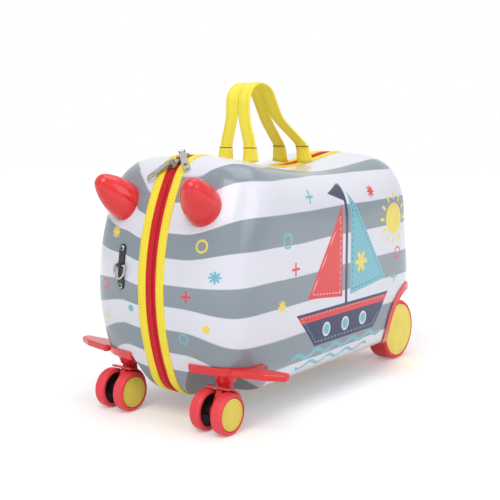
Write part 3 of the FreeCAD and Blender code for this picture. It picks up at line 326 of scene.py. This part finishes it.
def striped_shell(name, side):
    """Glossy shell with grey and white bands and a printed sailing boat on its side."""
    finish = Finish.of_material(name, {"Coat Weight": 0.3, "Coat Roughness": 0.06,
                                       "Specular IOR Level": 0.35})
    place = finish.place()
    x, y, z = finish.axes(place)
    out = abs(y)
    # The bands close up at the two ends, drop over the crest and rise at the brow
    ends = (1 - out.ramp(0.045, 0.122, True)) * abs(x).ramp(0.12, 0.23, True)
    crest = (1 - out.ramp(0.052, 0.098, True)) * z.ramp(0.285, 0.312, True)
    crest = crest * (1 - abs(x).ramp(0.15, 0.215, True))
    brow = z.ramp(0.27, 0.32) * (1 - out.ramp(0.06, 0.125, True)) * x.ramp(0.16, 0.20, True)
    sway = finish.noise(place, 7.0, 1.0) * 0.007 - 0.0035
    closed_up = (z - BANDS_MIDDLE) * (ends * 0.33 + 1) + BANDS_MIDDLE
    height = closed_up + x * 0.0186 - 0.0037 + sway + (crest - brow) * BANDS_SHIFT
    if side == "right":
        beside_zip = (1 - out.ramp(0.018, 0.054, True)) * x.ramp(0.1, 0.2)
        height = height + beside_zip * (z.ramp(0.15, 0.25) * 0.009 + 0.005)
    stops = []
    under, over = GREY_PRINT, WHITE_PRINT
    for edge in BAND_EDGES:
        position = (edge - BANDS_LOW) / (BANDS_HIGH - BANDS_LOW)
        stops += [(position - BAND_BLUR, under), (position + BAND_BLUR, over)]
        under, over = over, under
    ground = finish.node("ShaderNodeValToRGB", {"stops": stops}, {0: height.ramp(BANDS_LOW, BANDS_HIGH)})
    flank = out.ramp(0.100, 0.112, True)
    nose = (1 - out.ramp(0.104, 0.112)) * x.ramp(0.10, 0.16)
    picture = Print(finish, ground, x, z)
    sail_marks(picture, flank)
    picture.across = out
    for shape, colour in nose_marks(picture, side):
        picture.lay(shape, colour, nose)
    speck = finish.noise(place, 900.0, 2.0)
    cloud = finish.noise(place, 14.0, 3.0)
    haze = cloud.ramp(0.35, 0.75) * 0.06
    finish.feed("Base Color", finish.mix(haze, picture.colour, paint(120, 122, 128)))
    finish.feed("Roughness", cloud * 0.08 + speck * 0.05 + 0.13)
    finish.relief(speck * 0.15 + cloud, 0.0004, 0.35)
    return finish.owner


def sail_marks(picture, flank):
    """Sailing boat, sun, waves and small signs on the flat of the side."""
    main_sail = picture.panel([(-0.006, 0.143), (-0.006, 0.286), (-0.106, 0.154)])
    fore_sail = picture.panel([(0.015, 0.143), (0.015, 0.270), (0.100, 0.151)])
    hull = picture.panel([(0.126, 0.133), (-0.114, 0.133), (-0.074, 0.085), (0.082, 0.085)])
    windows = picture.disc(0.054, 0.104, 0.0098).least(picture.disc(0.006, 0.104, 0.0098))
    windows = windows.least(picture.disc(-0.042, 0.104, 0.0098))
    sun = (-0.128, 0.240)
    for shape, colour in (
        (picture.disc(*sun, 0.023), YELLOW),
        (picture.star(*sun, 0.039, 0.0022, 6).most(0.028 - picture.disc(*sun, 0)), YELLOW),
        (main_sail, AQUA),
        (fore_sail, RED),
        (picture.star(-0.035, 0.186, 0.0150, 0.0032, 3), YELLOW),
        (picture.slab(0.0045, 0.212, 0.0031, 0.085), NAVY),
        (picture.panel([(0.007, 0.297), (0.007, 0.274), (0.044, 0.2855)]), NAVY),
        (hull, NAVY),
        (picture.slab(0.006, 0.1245, 0.120, 0.0046).most(hull), RED),
        (windows, WHITE_PRINT),
        (windows + 0.0028, AQUA),
        (picture.wave(0.016, 0.076, 0.116, 0.0036, 0.046, 0.0058), AQUA),
        (picture.wave(0.024, 0.061, 0.092, 0.0036, 0.046, 0.0046), AQUA),
        (picture.ring(0.146, 0.232, 0.0088, 0.0032), AQUA),
        (picture.star(0.128, 0.194, 0.0088, 0.0017, 2), RED),
        (picture.star(0.158, 0.150, 0.0082, 0.0015, 4), YELLOW),
        (picture.star(0.092, 0.284, 0.0088, 0.0017, 2), AQUA),
        (picture.ring(-0.142, 0.188, 0.0078, 0.0028), RED),
        (picture.star(-0.132, 0.152, 0.0085, 0.0017, 2), AQUA),
        (picture.star(-0.066, 0.283, 0.0082, 0.0015, 4), RED),
    ):
        picture.lay(shape, colour, flank)
    dashes = (picture.across + picture.up).phase(0.0085).sin().ramp(-0.1, 0.1)
    for sail, thread in ((main_sail, NAVY), (fore_sail, WHITE_PRINT), (hull, AQUA)):
        picture.lay(abs(sail + 0.0055) - 0.0006, thread, flank * dashes)


def nose_marks(picture, side):
    """Small signs on the front, in another order on each half."""
    if side == "left":
        return (
            (picture.ring(0.074, 0.232, 0.0070, 0.0024), YELLOW),
            (picture.star(0.056, 0.170, 0.0075, 0.0014, 2), RED),
            (picture.star(0.094, 0.196, 0.0075, 0.0014, 4), AQUA),
            (picture.disc(0.082, 0.132, 0.0050), YELLOW),
            (picture.ring(0.048, 0.116, 0.0060, 0.0022), AQUA),
        )
    return (
        (picture.star(0.070, 0.240, 0.0075, 0.0014, 4), YELLOW),
        (picture.ring(0.086, 0.172, 0.0065, 0.0022), RED),
        (picture.star(0.090, 0.128, 0.0080, 0.0015, 2), YELLOW),
        (picture.disc(0.036, 0.146, 0.0045), AQUA),
    )


def moulded(name, colour, rough, coat=0.0):
    """Moulded plastic or rubber: faint flow marks and a fine grain."""
    finish = Finish.of_material(name, {"Coat Weight": coat, "Coat Roughness": 0.05,
                                       "Specular IOR Level": 0.35})
    place = finish.place()
    flow = finish.noise(place, 35.0, 4.0)
    grain = finish.noise(place, 1400.0, 2.0)
    finish.feed("Base Color", finish.mix(flow.ramp(0.3, 0.8) * 0.35, colour, shaded(colour, 0.72)))
    finish.feed("Roughness", flow * 0.14 + grain * 0.06 + (rough - 0.1))
    finish.relief(grain * 0.3 + flow, 0.0003, 0.3)
    return finish.owner


def disc_cap(name, centre, rim, colour):
    """Wheel cap with turned rings and a pressed rim of a given radius, about its own axle, with painted
    shade in the rim's groove.
    """
    finish = Finish.of_material(name, {"Coat Weight": 0.15, "Coat Roughness": 0.2})
    place = finish.place()
    x, y, z = finish.axes(place)
    radius = ((x - centre.x) ** 2 + (z - centre.z) ** 2) ** 0.5
    rings = radius.phase(0.0011).sin()
    groove = abs(radius - rim).below(0.0006, 0.0006)
    flow = finish.noise(place, 60.0, 3.0)
    # Painted shade darkens the rim's groove; the flow marks are the cap's own uneven tone
    groove_shade_and_flow = groove * 0.22 + flow.ramp(0.4, 0.9) * 0.25
    finish.feed("Base Color", finish.mix(groove_shade_and_flow, colour, shaded(colour, 0.55)))
    finish.feed("Roughness", flow * 0.15 + 0.3)
    finish.relief(rings * 0.06 - groove, 0.0005, 0.5)
    return finish.owner


def metal(name, colour, rough, hole_shades=()):
    """Plated metal with rubbed patches, fine lines and, about given places, near-black discs of painted
    shade that stand in for holes.
    """
    finish = Finish.of_material(name, {"Metallic": 1.0})
    place = finish.place()
    x, y, z = finish.axes(place)
    rubbed = finish.noise(place, 160.0, 4.0)
    drawn_out = finish.node("ShaderNodeMapping", {}, {0: place, "Scale": (60.0, 900.0, 900.0)})
    lines = finish.noise(drawn_out, 3.0, 2.0)
    plated = finish.mix(rubbed.ramp(0.45, 0.8) * 0.5, colour, shaded(colour, 0.6))
    # Painted shade: a near-black disc stands in for the dark inside of a hole
    for across, up, radius in hole_shades:
        from_hole = ((y - across) ** 2 + (z - up) ** 2) ** 0.5
        plated = finish.mix(from_hole.below(radius, 0.0003), plated, paint(26, 25, 24))
    finish.feed("Base Color", plated)
    finish.feed("Roughness", rubbed * 0.2 + lines * 0.08 + (rough - 0.1))
    finish.relief(lines, 0.0001, 0.25)
    return finish.owner


def webbing(name, colour, thread, band, seams, crease=None):
    """Woven band with ribs along it, stitches at set distances from its middle and a dark line of painted
    shade along a crease.
    """
    middle, width = band[:2]
    finish = Finish.of_material(name, {"Roughness": 0.75, "Sheen Weight": 0.1, "Sheen Roughness": 0.5})
    along, across = finish.woven_place()
    rib = across.phase(0.0017).sin()
    pick = (along.phase(0.0011) + rib * 1.6).sin()
    weave = rib * 0.5 + pick * 0.5
    place = finish.place()
    fade = finish.noise(place, 55.0, 4.0)
    deep = (colour[0], colour[1] * 0.84, colour[2] * 0.6, 1.0)
    cloth = finish.mix(weave.ramp(-1.2, 0.6) * 0.7 + 0.3, deep, colour)
    cloth = finish.mix(fade.ramp(0.45, 0.85) * 0.25, cloth, deep)
    hump = along.phase(0.0042).sin()
    stitch = None
    for seam_line in seams:
        row = abs(abs(across - middle) - seam_line).below(0.00055, 0.0003)
        stitch = row if stitch is None else stitch.most(row)
    stitch = stitch * hump.ramp(-0.45, -0.15)
    edge = abs(across - middle).ramp(width / 2 - 0.0012, width / 2 - 0.0004)
    cloth = finish.mix(stitch.most(edge * 0.35), cloth, thread)
    # Painted shade: a dark line along the crease where the strap leaves the tab
    if crease:
        x, y, z = finish.axes(place)
        cloth = finish.mix(abs(z - crease).below(0.0008, 0.0005), cloth, CREASE_SHADE)
    finish.feed("Base Color", cloth)
    finish.relief(weave * 0.35 + stitch * hump * 0.7 - edge * 0.4, 0.0006, 0.6)
    return finish.owner


def zip_cloth(name, colour):
    """Zip tape: fine ribs across it and two darker sewn lines beside the coil."""
    finish = Finish.of_material(name, {"Roughness": 0.8, "Sheen Weight": 0.04})
    along, across = finish.woven_place()
    rib = along.phase(0.0013).sin()
    herring = (abs(across).phase(0.0022) + rib).sin()
    line = abs(abs(across) - 0.0045).below(0.0005, 0.0005)
    dark = line.most(herring.ramp(0.2, 1.4) * 0.6)
    finish.feed("Base Color", finish.mix(dark, colour, shaded(colour, 0.45)))
    finish.relief(herring * 0.5 + rib * 0.5 - line, 0.0004, 0.6)
    return finish.owner


def lining_cloth(name):
    """Thin lining cloth with a diamond weave and soft creases."""
    finish = Finish.of_material(name, {"Sheen Weight": 0.3})
    place = finish.place()
    x, y, z = finish.axes(place)
    diamond = (x + z + y).phase(0.006).sin() * (x - z + y).phase(0.006).sin()
    crease = finish.noise(place, 22.0, 5.0)
    dark, pale = paint(96, 101, 112), paint(120, 126, 138)
    finish.feed("Base Color", finish.mix(diamond.ramp(-0.3, 0.3), dark, pale))
    finish.feed("Roughness", crease * 0.2 + 0.5)
    finish.relief(crease * 3.0 + diamond * 0.2, 0.002, 0.5)
    return finish.owner


class Route:
    """A line of straight runs and round bends in an upright plane, read by the distance along it."""

    def __init__(self, corners, radii, closed):
        points = [Vector((x, 0, z)) for x, z in corners]
        count = len(points)
        turning = range(count) if closed else range(1, count - 1)
        bends = []
        for i in turning:
            before = (points[i] - points[i - 1]).normalized()
            after = (points[(i + 1) % count] - points[i]).normalized()
            half = before.angle(after) / 2
            left = (after - before).dot(Vector((-before.z, 0, before.x))) > 0
            reach = radii[i] * math.tan(half)
            start, end = points[i] - before * reach, points[i] + after * reach
            bends.append((start, end, before, radii[i], 2 * half, left))
        self.stretches = []
        last = bends[-1][1] if closed else points[0]
        for start, end, way, radius, angle, left in bends:
            self.add_run(last, start)
            self.stretches.append((radius * angle, start, way, radius if left else -radius))
            last = end
        if not closed:
            self.add_run(last, points[-1])
        self.length = sum(stretch[0] for stretch in self.stretches)

    def add_run(self, start, end):
        self.stretches.append(((end - start).length, start, (end - start).normalized(), 0))

    def at(self, distance):
        """Axes there: along the line, outwards and to the left of the case."""
        for length, start, way, radius in self.stretches:
            if distance <= length + 1e-9:
                break
            distance -= length
        axes = Matrix((way, (way.z, 0, -way.x), (0, 1, 0))).transposed().to_4x4()
        if not radius:
            return Matrix.Translation(start + way * distance) @ axes
        centre = Matrix.Translation(start + Vector((-way.z, 0, way.x)) * radius)
        turn = Matrix.Rotation(-distance / radius, 4, "Y")
        return centre @ turn @ centre.inverted() @ Matrix.Translation(start) @ axes

    def stations(self, start, end, step, bend_step=math.radians(5)):
        """Distances to stop at from start to end, closer together in the bends."""
        stops = [start]
        passed = 0
        for length, point, way, radius in self.stretches:
            pitch = min(step, abs(radius) * bend_step) if radius else step
            count = max(1, math.ceil(length / pitch))
            stops += [passed + length * k / count for k in range(count + 1)]
            passed += length
        inside = sorted({round(s, 6) for s in stops if start + 1e-4 < s < end - 1e-4})
        return [start] + inside + [end]

    def where(self, x=None, z=None, after=0.0):
        """First distance after a given one at which the line crosses an x or a z."""
        def gap(s):
            point = self.at(s).translation
            return point.x - x if z is None else point.z - z

        stride = 0.002
        stops = [after + k * stride for k in range(int((self.length - after) / stride) + 1)]
        s = next(here for here, there in zip(stops, stops[1:]) if gap(here) * gap(there) <= 0)
        for k in range(12):
            middle = stride / 2 ** (k + 1)
            if gap(s) * gap(s + middle) > 0:
                s += middle
        return s


def ribbon_profile(middle, width, thick, low, crown=0.0, steps=6):
    """Closed outline of a flat band as (side, out) points, with round edges and a low crown."""
    half = width / 2
    edge = thick / 2
    flat = [-1 + 2 * k / steps for k in range(steps + 1)]
    top = [(middle + t * (half - edge), low + thick + crown * (1 - t * t)) for t in flat]
    bottom = [(middle + t * (half - edge), low) for t in reversed(flat)]
    rounding = [(edge * math.sin(a), edge * math.cos(a)) for a in (0.8, 1.57, 2.34)]
    right = [(middle + half - edge + side, low + edge + rise) for side, rise in rounding]
    left = [(middle - half + edge - side, low + edge - rise) for side, rise in rounding]
    return top + right + bottom + left


def sweep(route, stations, profile, joined=False):
    """Band made by carrying a closed profile along a route, with its length and width as UVs."""
    bm = bmesh.new()
    along = bm.verts.layers.float.new("along")
    across = bm.verts.layers.float.new("across")
    ring = []
    for side, out in profile:
        vert = bm.verts.new((0, out, side))
        vert[across] = side
        vert[along] = stations[0]
        ring.append(vert)
    edges = [bm.edges.new((a, b)) for a, b in zip(ring, ring[1:] + ring[:1])]
    first = edges
    bmesh.ops.transform(bm, matrix=route.at(stations[0]), verts=ring)
    for here, there in zip(stations, stations[1:]):
        made = bmesh.ops.extrude_edge_only(bm, edges=edges)["geom"]
        verts = {part for part in made if isinstance(part, bmesh.types.BMVert)}
        edges = [part for part in made if isinstance(part, bmesh.types.BMEdge) and set(part.verts) <= verts]
        onward = route.at(there) @ route.at(here).inverted()
        bmesh.ops.transform(bm, matrix=onward, verts=list(verts))
        for vert in verts:
            vert[along] = there
    weave = bm.loops.layers.uv.new("weave")
    if not joined:
        for loop_edges in (first, edges):
            bmesh.ops.contextual_create(bm, geom=loop_edges)
    for face in bm.faces:
        for loop in face.loops:
            loop[weave].uv = (loop.vert[along], loop.vert[across])
    if joined:
        bmesh.ops.remove_doubles(bm, verts=bm.verts, dist=1e-5)
    bmesh.ops.recalc_face_normals(bm, faces=bm.faces)
    return bm


def mirror_half(bm, side):
    """The right-hand copy of a left piece, where the right is asked for."""
    if side == "right":
        bmesh.ops.scale(bm, vec=(1, -1, 1), verts=bm.verts)
        bmesh.ops.recalc_face_normals(bm, faces=bm.faces)


def join(bm, other):
    """Add a second bmesh to the first."""
    mesh = bpy.data.meshes.new("joined")
    other.to_mesh(mesh)
    other.free()
    bm.from_mesh(mesh)


def piece(name, bm, material):
    """Smooth object at the origin from a finished bmesh."""
    mesh = bpy.data.meshes.new(name)
    bm.to_mesh(mesh)
    bm.free()
    for polygon in mesh.polygons:
        polygon.use_smooth = True
    mesh.materials.append(material)
    made = bpy.data.objects.new(name, mesh)
    bpy.context.scene.collection.objects.link(made)
    return made


def coat_node(name, material):
    """A solid that stays, with a finish of its own."""
    nodes[name].data.materials.clear()
    nodes[name].data.materials.append(material)


seam = Route(SEAM_CORNERS, SEAM_RADII, True)
strap_line = Route(STRAP_CORNERS, STRAP_RADII, False)

red_plastic = moulded("red_moulding", RED, 0.22, 0.3)
tyre_rubber = moulded("red_tyre", paint(240, 72, 82), 0.42)
dark_plastic = moulded("dark_core", paint(38, 30, 32), 0.5)
buckle_plastic = moulded("dark_buckle", paint(30, 31, 34), 0.42)
bright_metal = metal("bright_metal", paint(176, 174, 172), 0.24)
plate_metal = metal("plate_metal", paint(70, 70, 72), 0.34)
steel = metal("steel", paint(178, 181, 186), 0.36)
strap_cloth = webbing("strap_webbing", paint(255, 246, 84), STITCH_THREAD, STRAP, (0.0076, 0.0056))
# The tabs get a dark line of painted shade at their crease, just under the stitch line
tab_cloth = webbing("tab_webbing", paint(255, 244, 84), STITCH_THREAD, STRAP_TAB, (0.0084,),
                    STITCH_HEIGHT - 0.0014)
binding_cloth = webbing("binding_webbing", paint(255, 240, 66), STITCH_THREAD, BINDING, (0.0044, 0.0020))
packing_cloth = webbing("packing_webbing", paint(44, 45, 50), paint(84, 86, 92), PACKING_BAND,
                        (0.0050, 0.0026))
tape_cloth = zip_cloth("zip_tape", paint(232, 26, 42))
coil_plastic = moulded("zip_coil", paint(224, 34, 48), 0.36, 0.1)
inner_cloth = lining_cloth("lining_cloth")


def zip_teeth(start, end):
    """Row of small round-shouldered teeth along the seam, sunk a little into the tape."""
    bm = bmesh.new()
    shape = Matrix.Diagonal((TOOTH_PITCH * 0.47, TOOTH_RISE, TOOTH_LENGTH, 1))
    seat = Matrix.Translation((0, TOOTH_RISE / 2 - 0.0002, TOOTH_MIDDLE)) @ shape
    for k in range(int((end - start) / TOOTH_PITCH)):
        spot = seam.at((start + (k + 0.5) * TOOTH_PITCH) % seam.length)
        bmesh.ops.create_cube(bm, size=1, matrix=spot @ seat)
    bmesh.ops.bevel(bm, geom=bm.edges, offset=0.00034, segments=2, affect="EDGES", profile=0.5, material=-1)
    return bm


zip_start = seam.where(x=HINGE_TO)
zip_end = seam.where(x=HINGE_FROM, after=seam.length - 0.06)


def sewn_seam(side):
    """Zip tape, teeth and binding of one half."""
    body = side + "_half"
    tape = sweep(seam, seam.stations(zip_start, zip_end, SEAM_STEP), ribbon_profile(*ZIP_TAPE))
    mirror_half(tape, side)
    tape = piece("zip_tape_" + side, tape, tape_cloth)
    first = zip_start + (TOOTH_PITCH / 2 if side == "left" else 0)
    teeth = zip_teeth(first, zip_end)
    mirror_half(teeth, side)
    teeth = piece("zip_teeth_" + side, teeth, coil_plastic)
    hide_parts("zip_half_" + side)
    edging = sweep(seam, seam.stations(0, seam.length, SEAM_STEP), ribbon_profile(*BINDING), True)
    mirror_half(edging, side)
    edging = piece("binding_edge_" + side, edging, binding_cloth)
    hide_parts("binding_" + side)
    for made, slot in ((tape, "red_tape"), (teeth, "red_tape"), (edging, "yellow_webbing")):
        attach(made, body)


def hinge_cloth():
    """Tape along the underside between the halves."""
    line = Route([(HINGE_FROM, HINGE_HEIGHT), (HINGE_TO, HINGE_HEIGHT)], [0, 0], False)
    bm = sweep(line, line.stations(0, line.length, HINGE_STEP), ribbon_profile(*HINGE_TAPE))
    made = piece("hinge_tape", bm, tape_cloth)
    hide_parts("hinge_tape_left", "hinge_tape_right")
    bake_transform(made)


def carry_handle(side):
    """Webbing strap and the sewn tabs at its two ends."""
    body = side + "_half"
    total = strap_line.length
    lean = Matrix.Rotation(STRAP_LEAN, 4, "X")
    pivot = Vector((0, STRAP_MIDDLE, STITCH_HEIGHT))
    front_base = strap_line.where(z=FRONT_TAB_BASE)
    rear_base = strap_line.where(z=REAR_TAB_BASE, after=total - 0.05)
    web = sweep(strap_line, strap_line.stations(front_base, rear_base, STRAP_STEP), ribbon_profile(*STRAP))
    for vert in web.verts:
        rise = min(max((vert.co.z - STITCH_HEIGHT + CLOSING_UNDER) / CLOSING_OVER, 0), 1)
        vert.co.y -= STRAP_CLOSING * rise * rise * (3 - 2 * rise)
    tabs = bmesh.new()
    front_top = strap_line.where(z=STITCH_HEIGHT)
    rear_top = strap_line.where(z=STITCH_HEIGHT, after=total - 0.09)
    for start, end in ((front_base, front_top), (rear_top, rear_base)):
        tab = sweep(strap_line, strap_line.stations(start, end, STRAP_STEP), ribbon_profile(*STRAP_TAB))
        # A tab widens from the stitch line to its base
        for vert in tab.verts:
            drop = (STITCH_HEIGHT - vert.co.z) / TAB_HEIGHT
            vert.co.y = STRAP_MIDDLE + (vert.co.y - STRAP_MIDDLE) * (0.88 + 0.24 * drop)
        join(tabs, tab)
    bmesh.ops.rotate(tabs, cent=pivot, matrix=lean, verts=tabs.verts)
    for bm in (web, tabs):
        mirror_half(bm, side)
    strap = piece("strap_" + side, web, strap_cloth)
    ends = piece("strap_ends_" + side, tabs, tab_cloth)
    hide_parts("carry_strap_" + side)
    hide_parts("strap_tabs_" + side)
    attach(ends, body)
    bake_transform(strap)


def cut_mouth(bm, beyond):
    """Take off the faces that lie at the lining's mouth or a little beyond."""
    edge = LINING_MOUTH + beyond
    mouth = [face for face in bm.faces if all(abs(vert.co.y) < edge for vert in face.verts)]
    bmesh.ops.delete(bm, geom=mouth, context="FACES")


def inner_face(side):
    """The face of the lining solid that looks into the case, with its mouth closed off."""
    bm = bmesh.new()
    bm.from_mesh(nodes["lining_" + side].data)
    bmesh.ops.remove_doubles(bm, verts=bm.verts, dist=1e-5)
    cut_mouth(bm, 0.0002)
    bm.faces.ensure_lookup_table()
    # A place in the middle of the half, which the wanted face looks at
    room = Vector((0, math.copysign(0.05, bm.faces[0].calc_center_median().y), 0.19))
    found = set()
    waiting = [max(bm.faces, key=lambda face: face.normal.dot(room - face.calc_center_median()))]
    while waiting:
        face = waiting.pop()
        if face not in found:
            found.add(face)
            waiting += [other for edge in face.edges for other in edge.link_faces]
    bmesh.ops.delete(bm, geom=[face for face in bm.faces if face not in found], context="FACES")
    bmesh.ops.holes_fill(bm, edges=[edge for edge in bm.edges if edge.is_boundary], sides=0)
    bmesh.ops.recalc_face_normals(bm, faces=bm.faces)
    return bm


def even_mesh(bm, size):
    """The same closed shape in even squares of one size."""
    draft = piece("draft", bm, None)
    remesh = draft.modifiers.new("even", "REMESH")
    remesh.mode = "VOXEL"
    remesh.voxel_size = size
    made = bmesh.new()
    made.from_object(draft, bpy.context.evaluated_depsgraph_get())
    bpy.data.objects.remove(draft)
    return made


def soft_lining(side):
    """Lining cloth sewn in along the mouth, with soft folds where it lies loose in its half."""
    bm = even_mesh(inner_face(side), LINING_MESH)
    cut_mouth(bm, 0.004)
    for k in range(3):
        bmesh.ops.smooth_vert(bm, verts=bm.verts, factor=0.5,
                              use_axis_x=True, use_axis_y=True, use_axis_z=True)
    bm.normal_update()
    moves = []
    for vert in bm.verts:
        place = vert.co
        loose = min(max((abs(place.y) - LINING_MOUTH - LOOSE_AFTER) / LOOSE_OVER, 0), 1)
        drift = noise.noise(place * 6)
        fold = 1 - abs(noise.noise(Vector((place.x * 26 + drift * 3, place.y * 9, place.z * 11 + drift))))
        ripple = noise.noise(place * 45)
        lift = FOLD_HEIGHT * max(fold - FOLD_START, 0) + RIPPLE_HEIGHT * ripple
        moves.append(vert.normal * -(0.0004 + loose * lift))
    for vert, move in zip(bm.verts, moves):
        vert.co += move
        if vert.is_boundary:
            vert.co.y = math.copysign(LINING_MOUTH + 0.0003, vert.co.y)
    bmesh.ops.solidify(bm, geom=bm.faces, thickness=-LINING_THICK)
    bmesh.ops.recalc_face_normals(bm, faces=bm.faces)
    made = piece("lining_cloth_" + side, bm, inner_cloth)
    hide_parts("lining_" + side)
    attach(made, side + "_half")


def packing_bands():
    """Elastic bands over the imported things, from the buckle to the corners of the lining."""
    low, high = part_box("packing_straps")
    bm = bmesh.new()
    middle = (low + high) / 2
    line = Route([(BAND_START, 0.0), (math.hypot(BAND_REACH_X, BAND_REACH_Z), 0.0)], [0, 0], False)
    slant = math.atan2(BAND_REACH_Z, BAND_REACH_X)
    for angle in (slant, math.pi - slant):
        for end in (0, math.pi):
            band = sweep(line, line.stations(0, line.length, PACKING_STEP), ribbon_profile(*PACKING_BAND))
            turn = Matrix.Rotation(angle + end, 4, "Y") @ Matrix.Rotation(math.pi / 2, 4, "X")
            bmesh.ops.transform(band, matrix=Matrix.Translation(middle) @ turn, verts=band.verts)
            join(bm, band)
    made = piece("packing_bands", bm, packing_cloth)
    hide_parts("packing_straps")
    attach(made, "right_half")


for side in ("left", "right"):
    sewn_seam(side)
    carry_handle(side)
    soft_lining(side)
    coat_node("shell_" + side, striped_shell("striped_shell_" + side, side))
    for name in ("hand_grip_", "footrest_bracket_", "rear_bracket_", "caster_fork_"):
        coat_node(name + side, red_plastic)
    for name in ("caster_outer_tyre_", "caster_inner_tyre_", "rear_tyre_"):
        coat_node(name + side, tyre_rubber)
    for name in ("caster_outer_core_", "caster_inner_core_", "rear_hub_"):
        coat_node(name + side, dark_plastic)
    for name in ("shell_screws_", "rear_axle_", "caster_stem_", "caster_axle_"):
        coat_node(name + side, steel)
    for name, rim, colour in (("caster_outer_cap_", 0.0172, CAP_YELLOW),
                              ("caster_inner_cap_", 0.0172, CAP_YELLOW),
                              # The rear cap's lighter yellow is painted light over its shade
                              ("rear_cap_", 0.0372, SHADE_LIFTED_CAP_YELLOW)):
        low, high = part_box(name + side)
        coat_node(name + side, disc_cap(name + side, (low + high) / 2, rim, colour))
hinge_cloth()
packing_bands()
for name in ("zip_slider_front", "zip_slider_rear", "zip_pull_front", "zip_pull_rear", "d_ring"):
    coat_node(name, bright_metal)
low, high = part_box("ring_rivets")
rivet = high.y - low.y
# A painted shade disc in the middle of each rivet head stands in for its hole
heads = [((low.y + high.y) / 2, up, rivet * 0.26) for up in (low.z + rivet / 2, high.z - rivet / 2)]
coat_node("ring_rivets", metal("rivet_metal", paint(186, 184, 182), 0.22, heads))
coat_node("ring_plate", plate_metal)
coat_node("packing_buckle", buckle_plastic)


def stage():
    """Pale floor, soft light and the camera."""
    floor = bmesh.new()
    bmesh.ops.create_grid(floor, x_segments=2, y_segments=2, size=6.0)
    pale = Finish.of_material("pale_floor", {"Base Color": (0.95, 0.95, 0.95, 1), "Emission Strength": 1.0})
    place = pale.place()
    x, y, z = pale.axes(place)
    pale.feed("Roughness", pale.noise(place, 2.0, 2.0) * 0.1 + 0.65)
    far = ((x ** 2 + y ** 2) ** 0.5).ramp(0.35, 1.5, True) * 0.75 + 0.25
    pale.feed("Emission Color", pale.mix(far * pale.seen_directly(), (0, 0, 0, 1), (0.9, 0.9, 0.9, 1)))
    pale.feed("Alpha", 1 - pale.node("ShaderNodeNewGeometry", {}, {}, "Backfacing"))
    ground = piece("floor", floor, pale.owner)
    studio = Finish(bpy.data.worlds.new("studio"), "Background", {"Color": (1, 1, 1, 1)})
    studio.feed("Strength", studio.seen_directly() * (STUDIO_SEEN - STUDIO_LIGHT) + STUDIO_LIGHT)
    bpy.context.scene.world = studio.owner
    for name, spot, size, power in LAMPS:
        lamp = bpy.data.lights.new(name, "AREA")
        lamp.size = size
        lamp.energy = power
        light = bpy.data.objects.new(name, lamp)
        light.location = spot
        light.rotation_euler = (Vector(LAMP_AIM) - Vector(spot)).to_track_quat("-Z", "Y").to_euler()
        bpy.context.scene.collection.objects.link(light)
    turn, rise = math.radians(CAMERA_TURN), math.radians(CAMERA_RISE)
    level = math.cos(rise)
    back = Vector((math.sin(turn) * level, -math.cos(turn) * level, math.sin(rise)))
    lens = bpy.data.cameras.new("camera")
    lens.sensor_width = CAMERA_SENSOR
    lens.lens = CAMERA_LENS
    camera = bpy.data.objects.new("camera", lens)
    camera.location = Vector(CAMERA_AIM) + back * CAMERA_AWAY
    camera.rotation_euler = (-back).to_track_quat("-Z", "Y").to_euler()
    bpy.context.scene.collection.objects.link(camera)
    bpy.context.scene.camera = camera
    bpy.context.scene.view_settings.view_transform = "Standard"


stage()
bpy.context.view_layer.update()
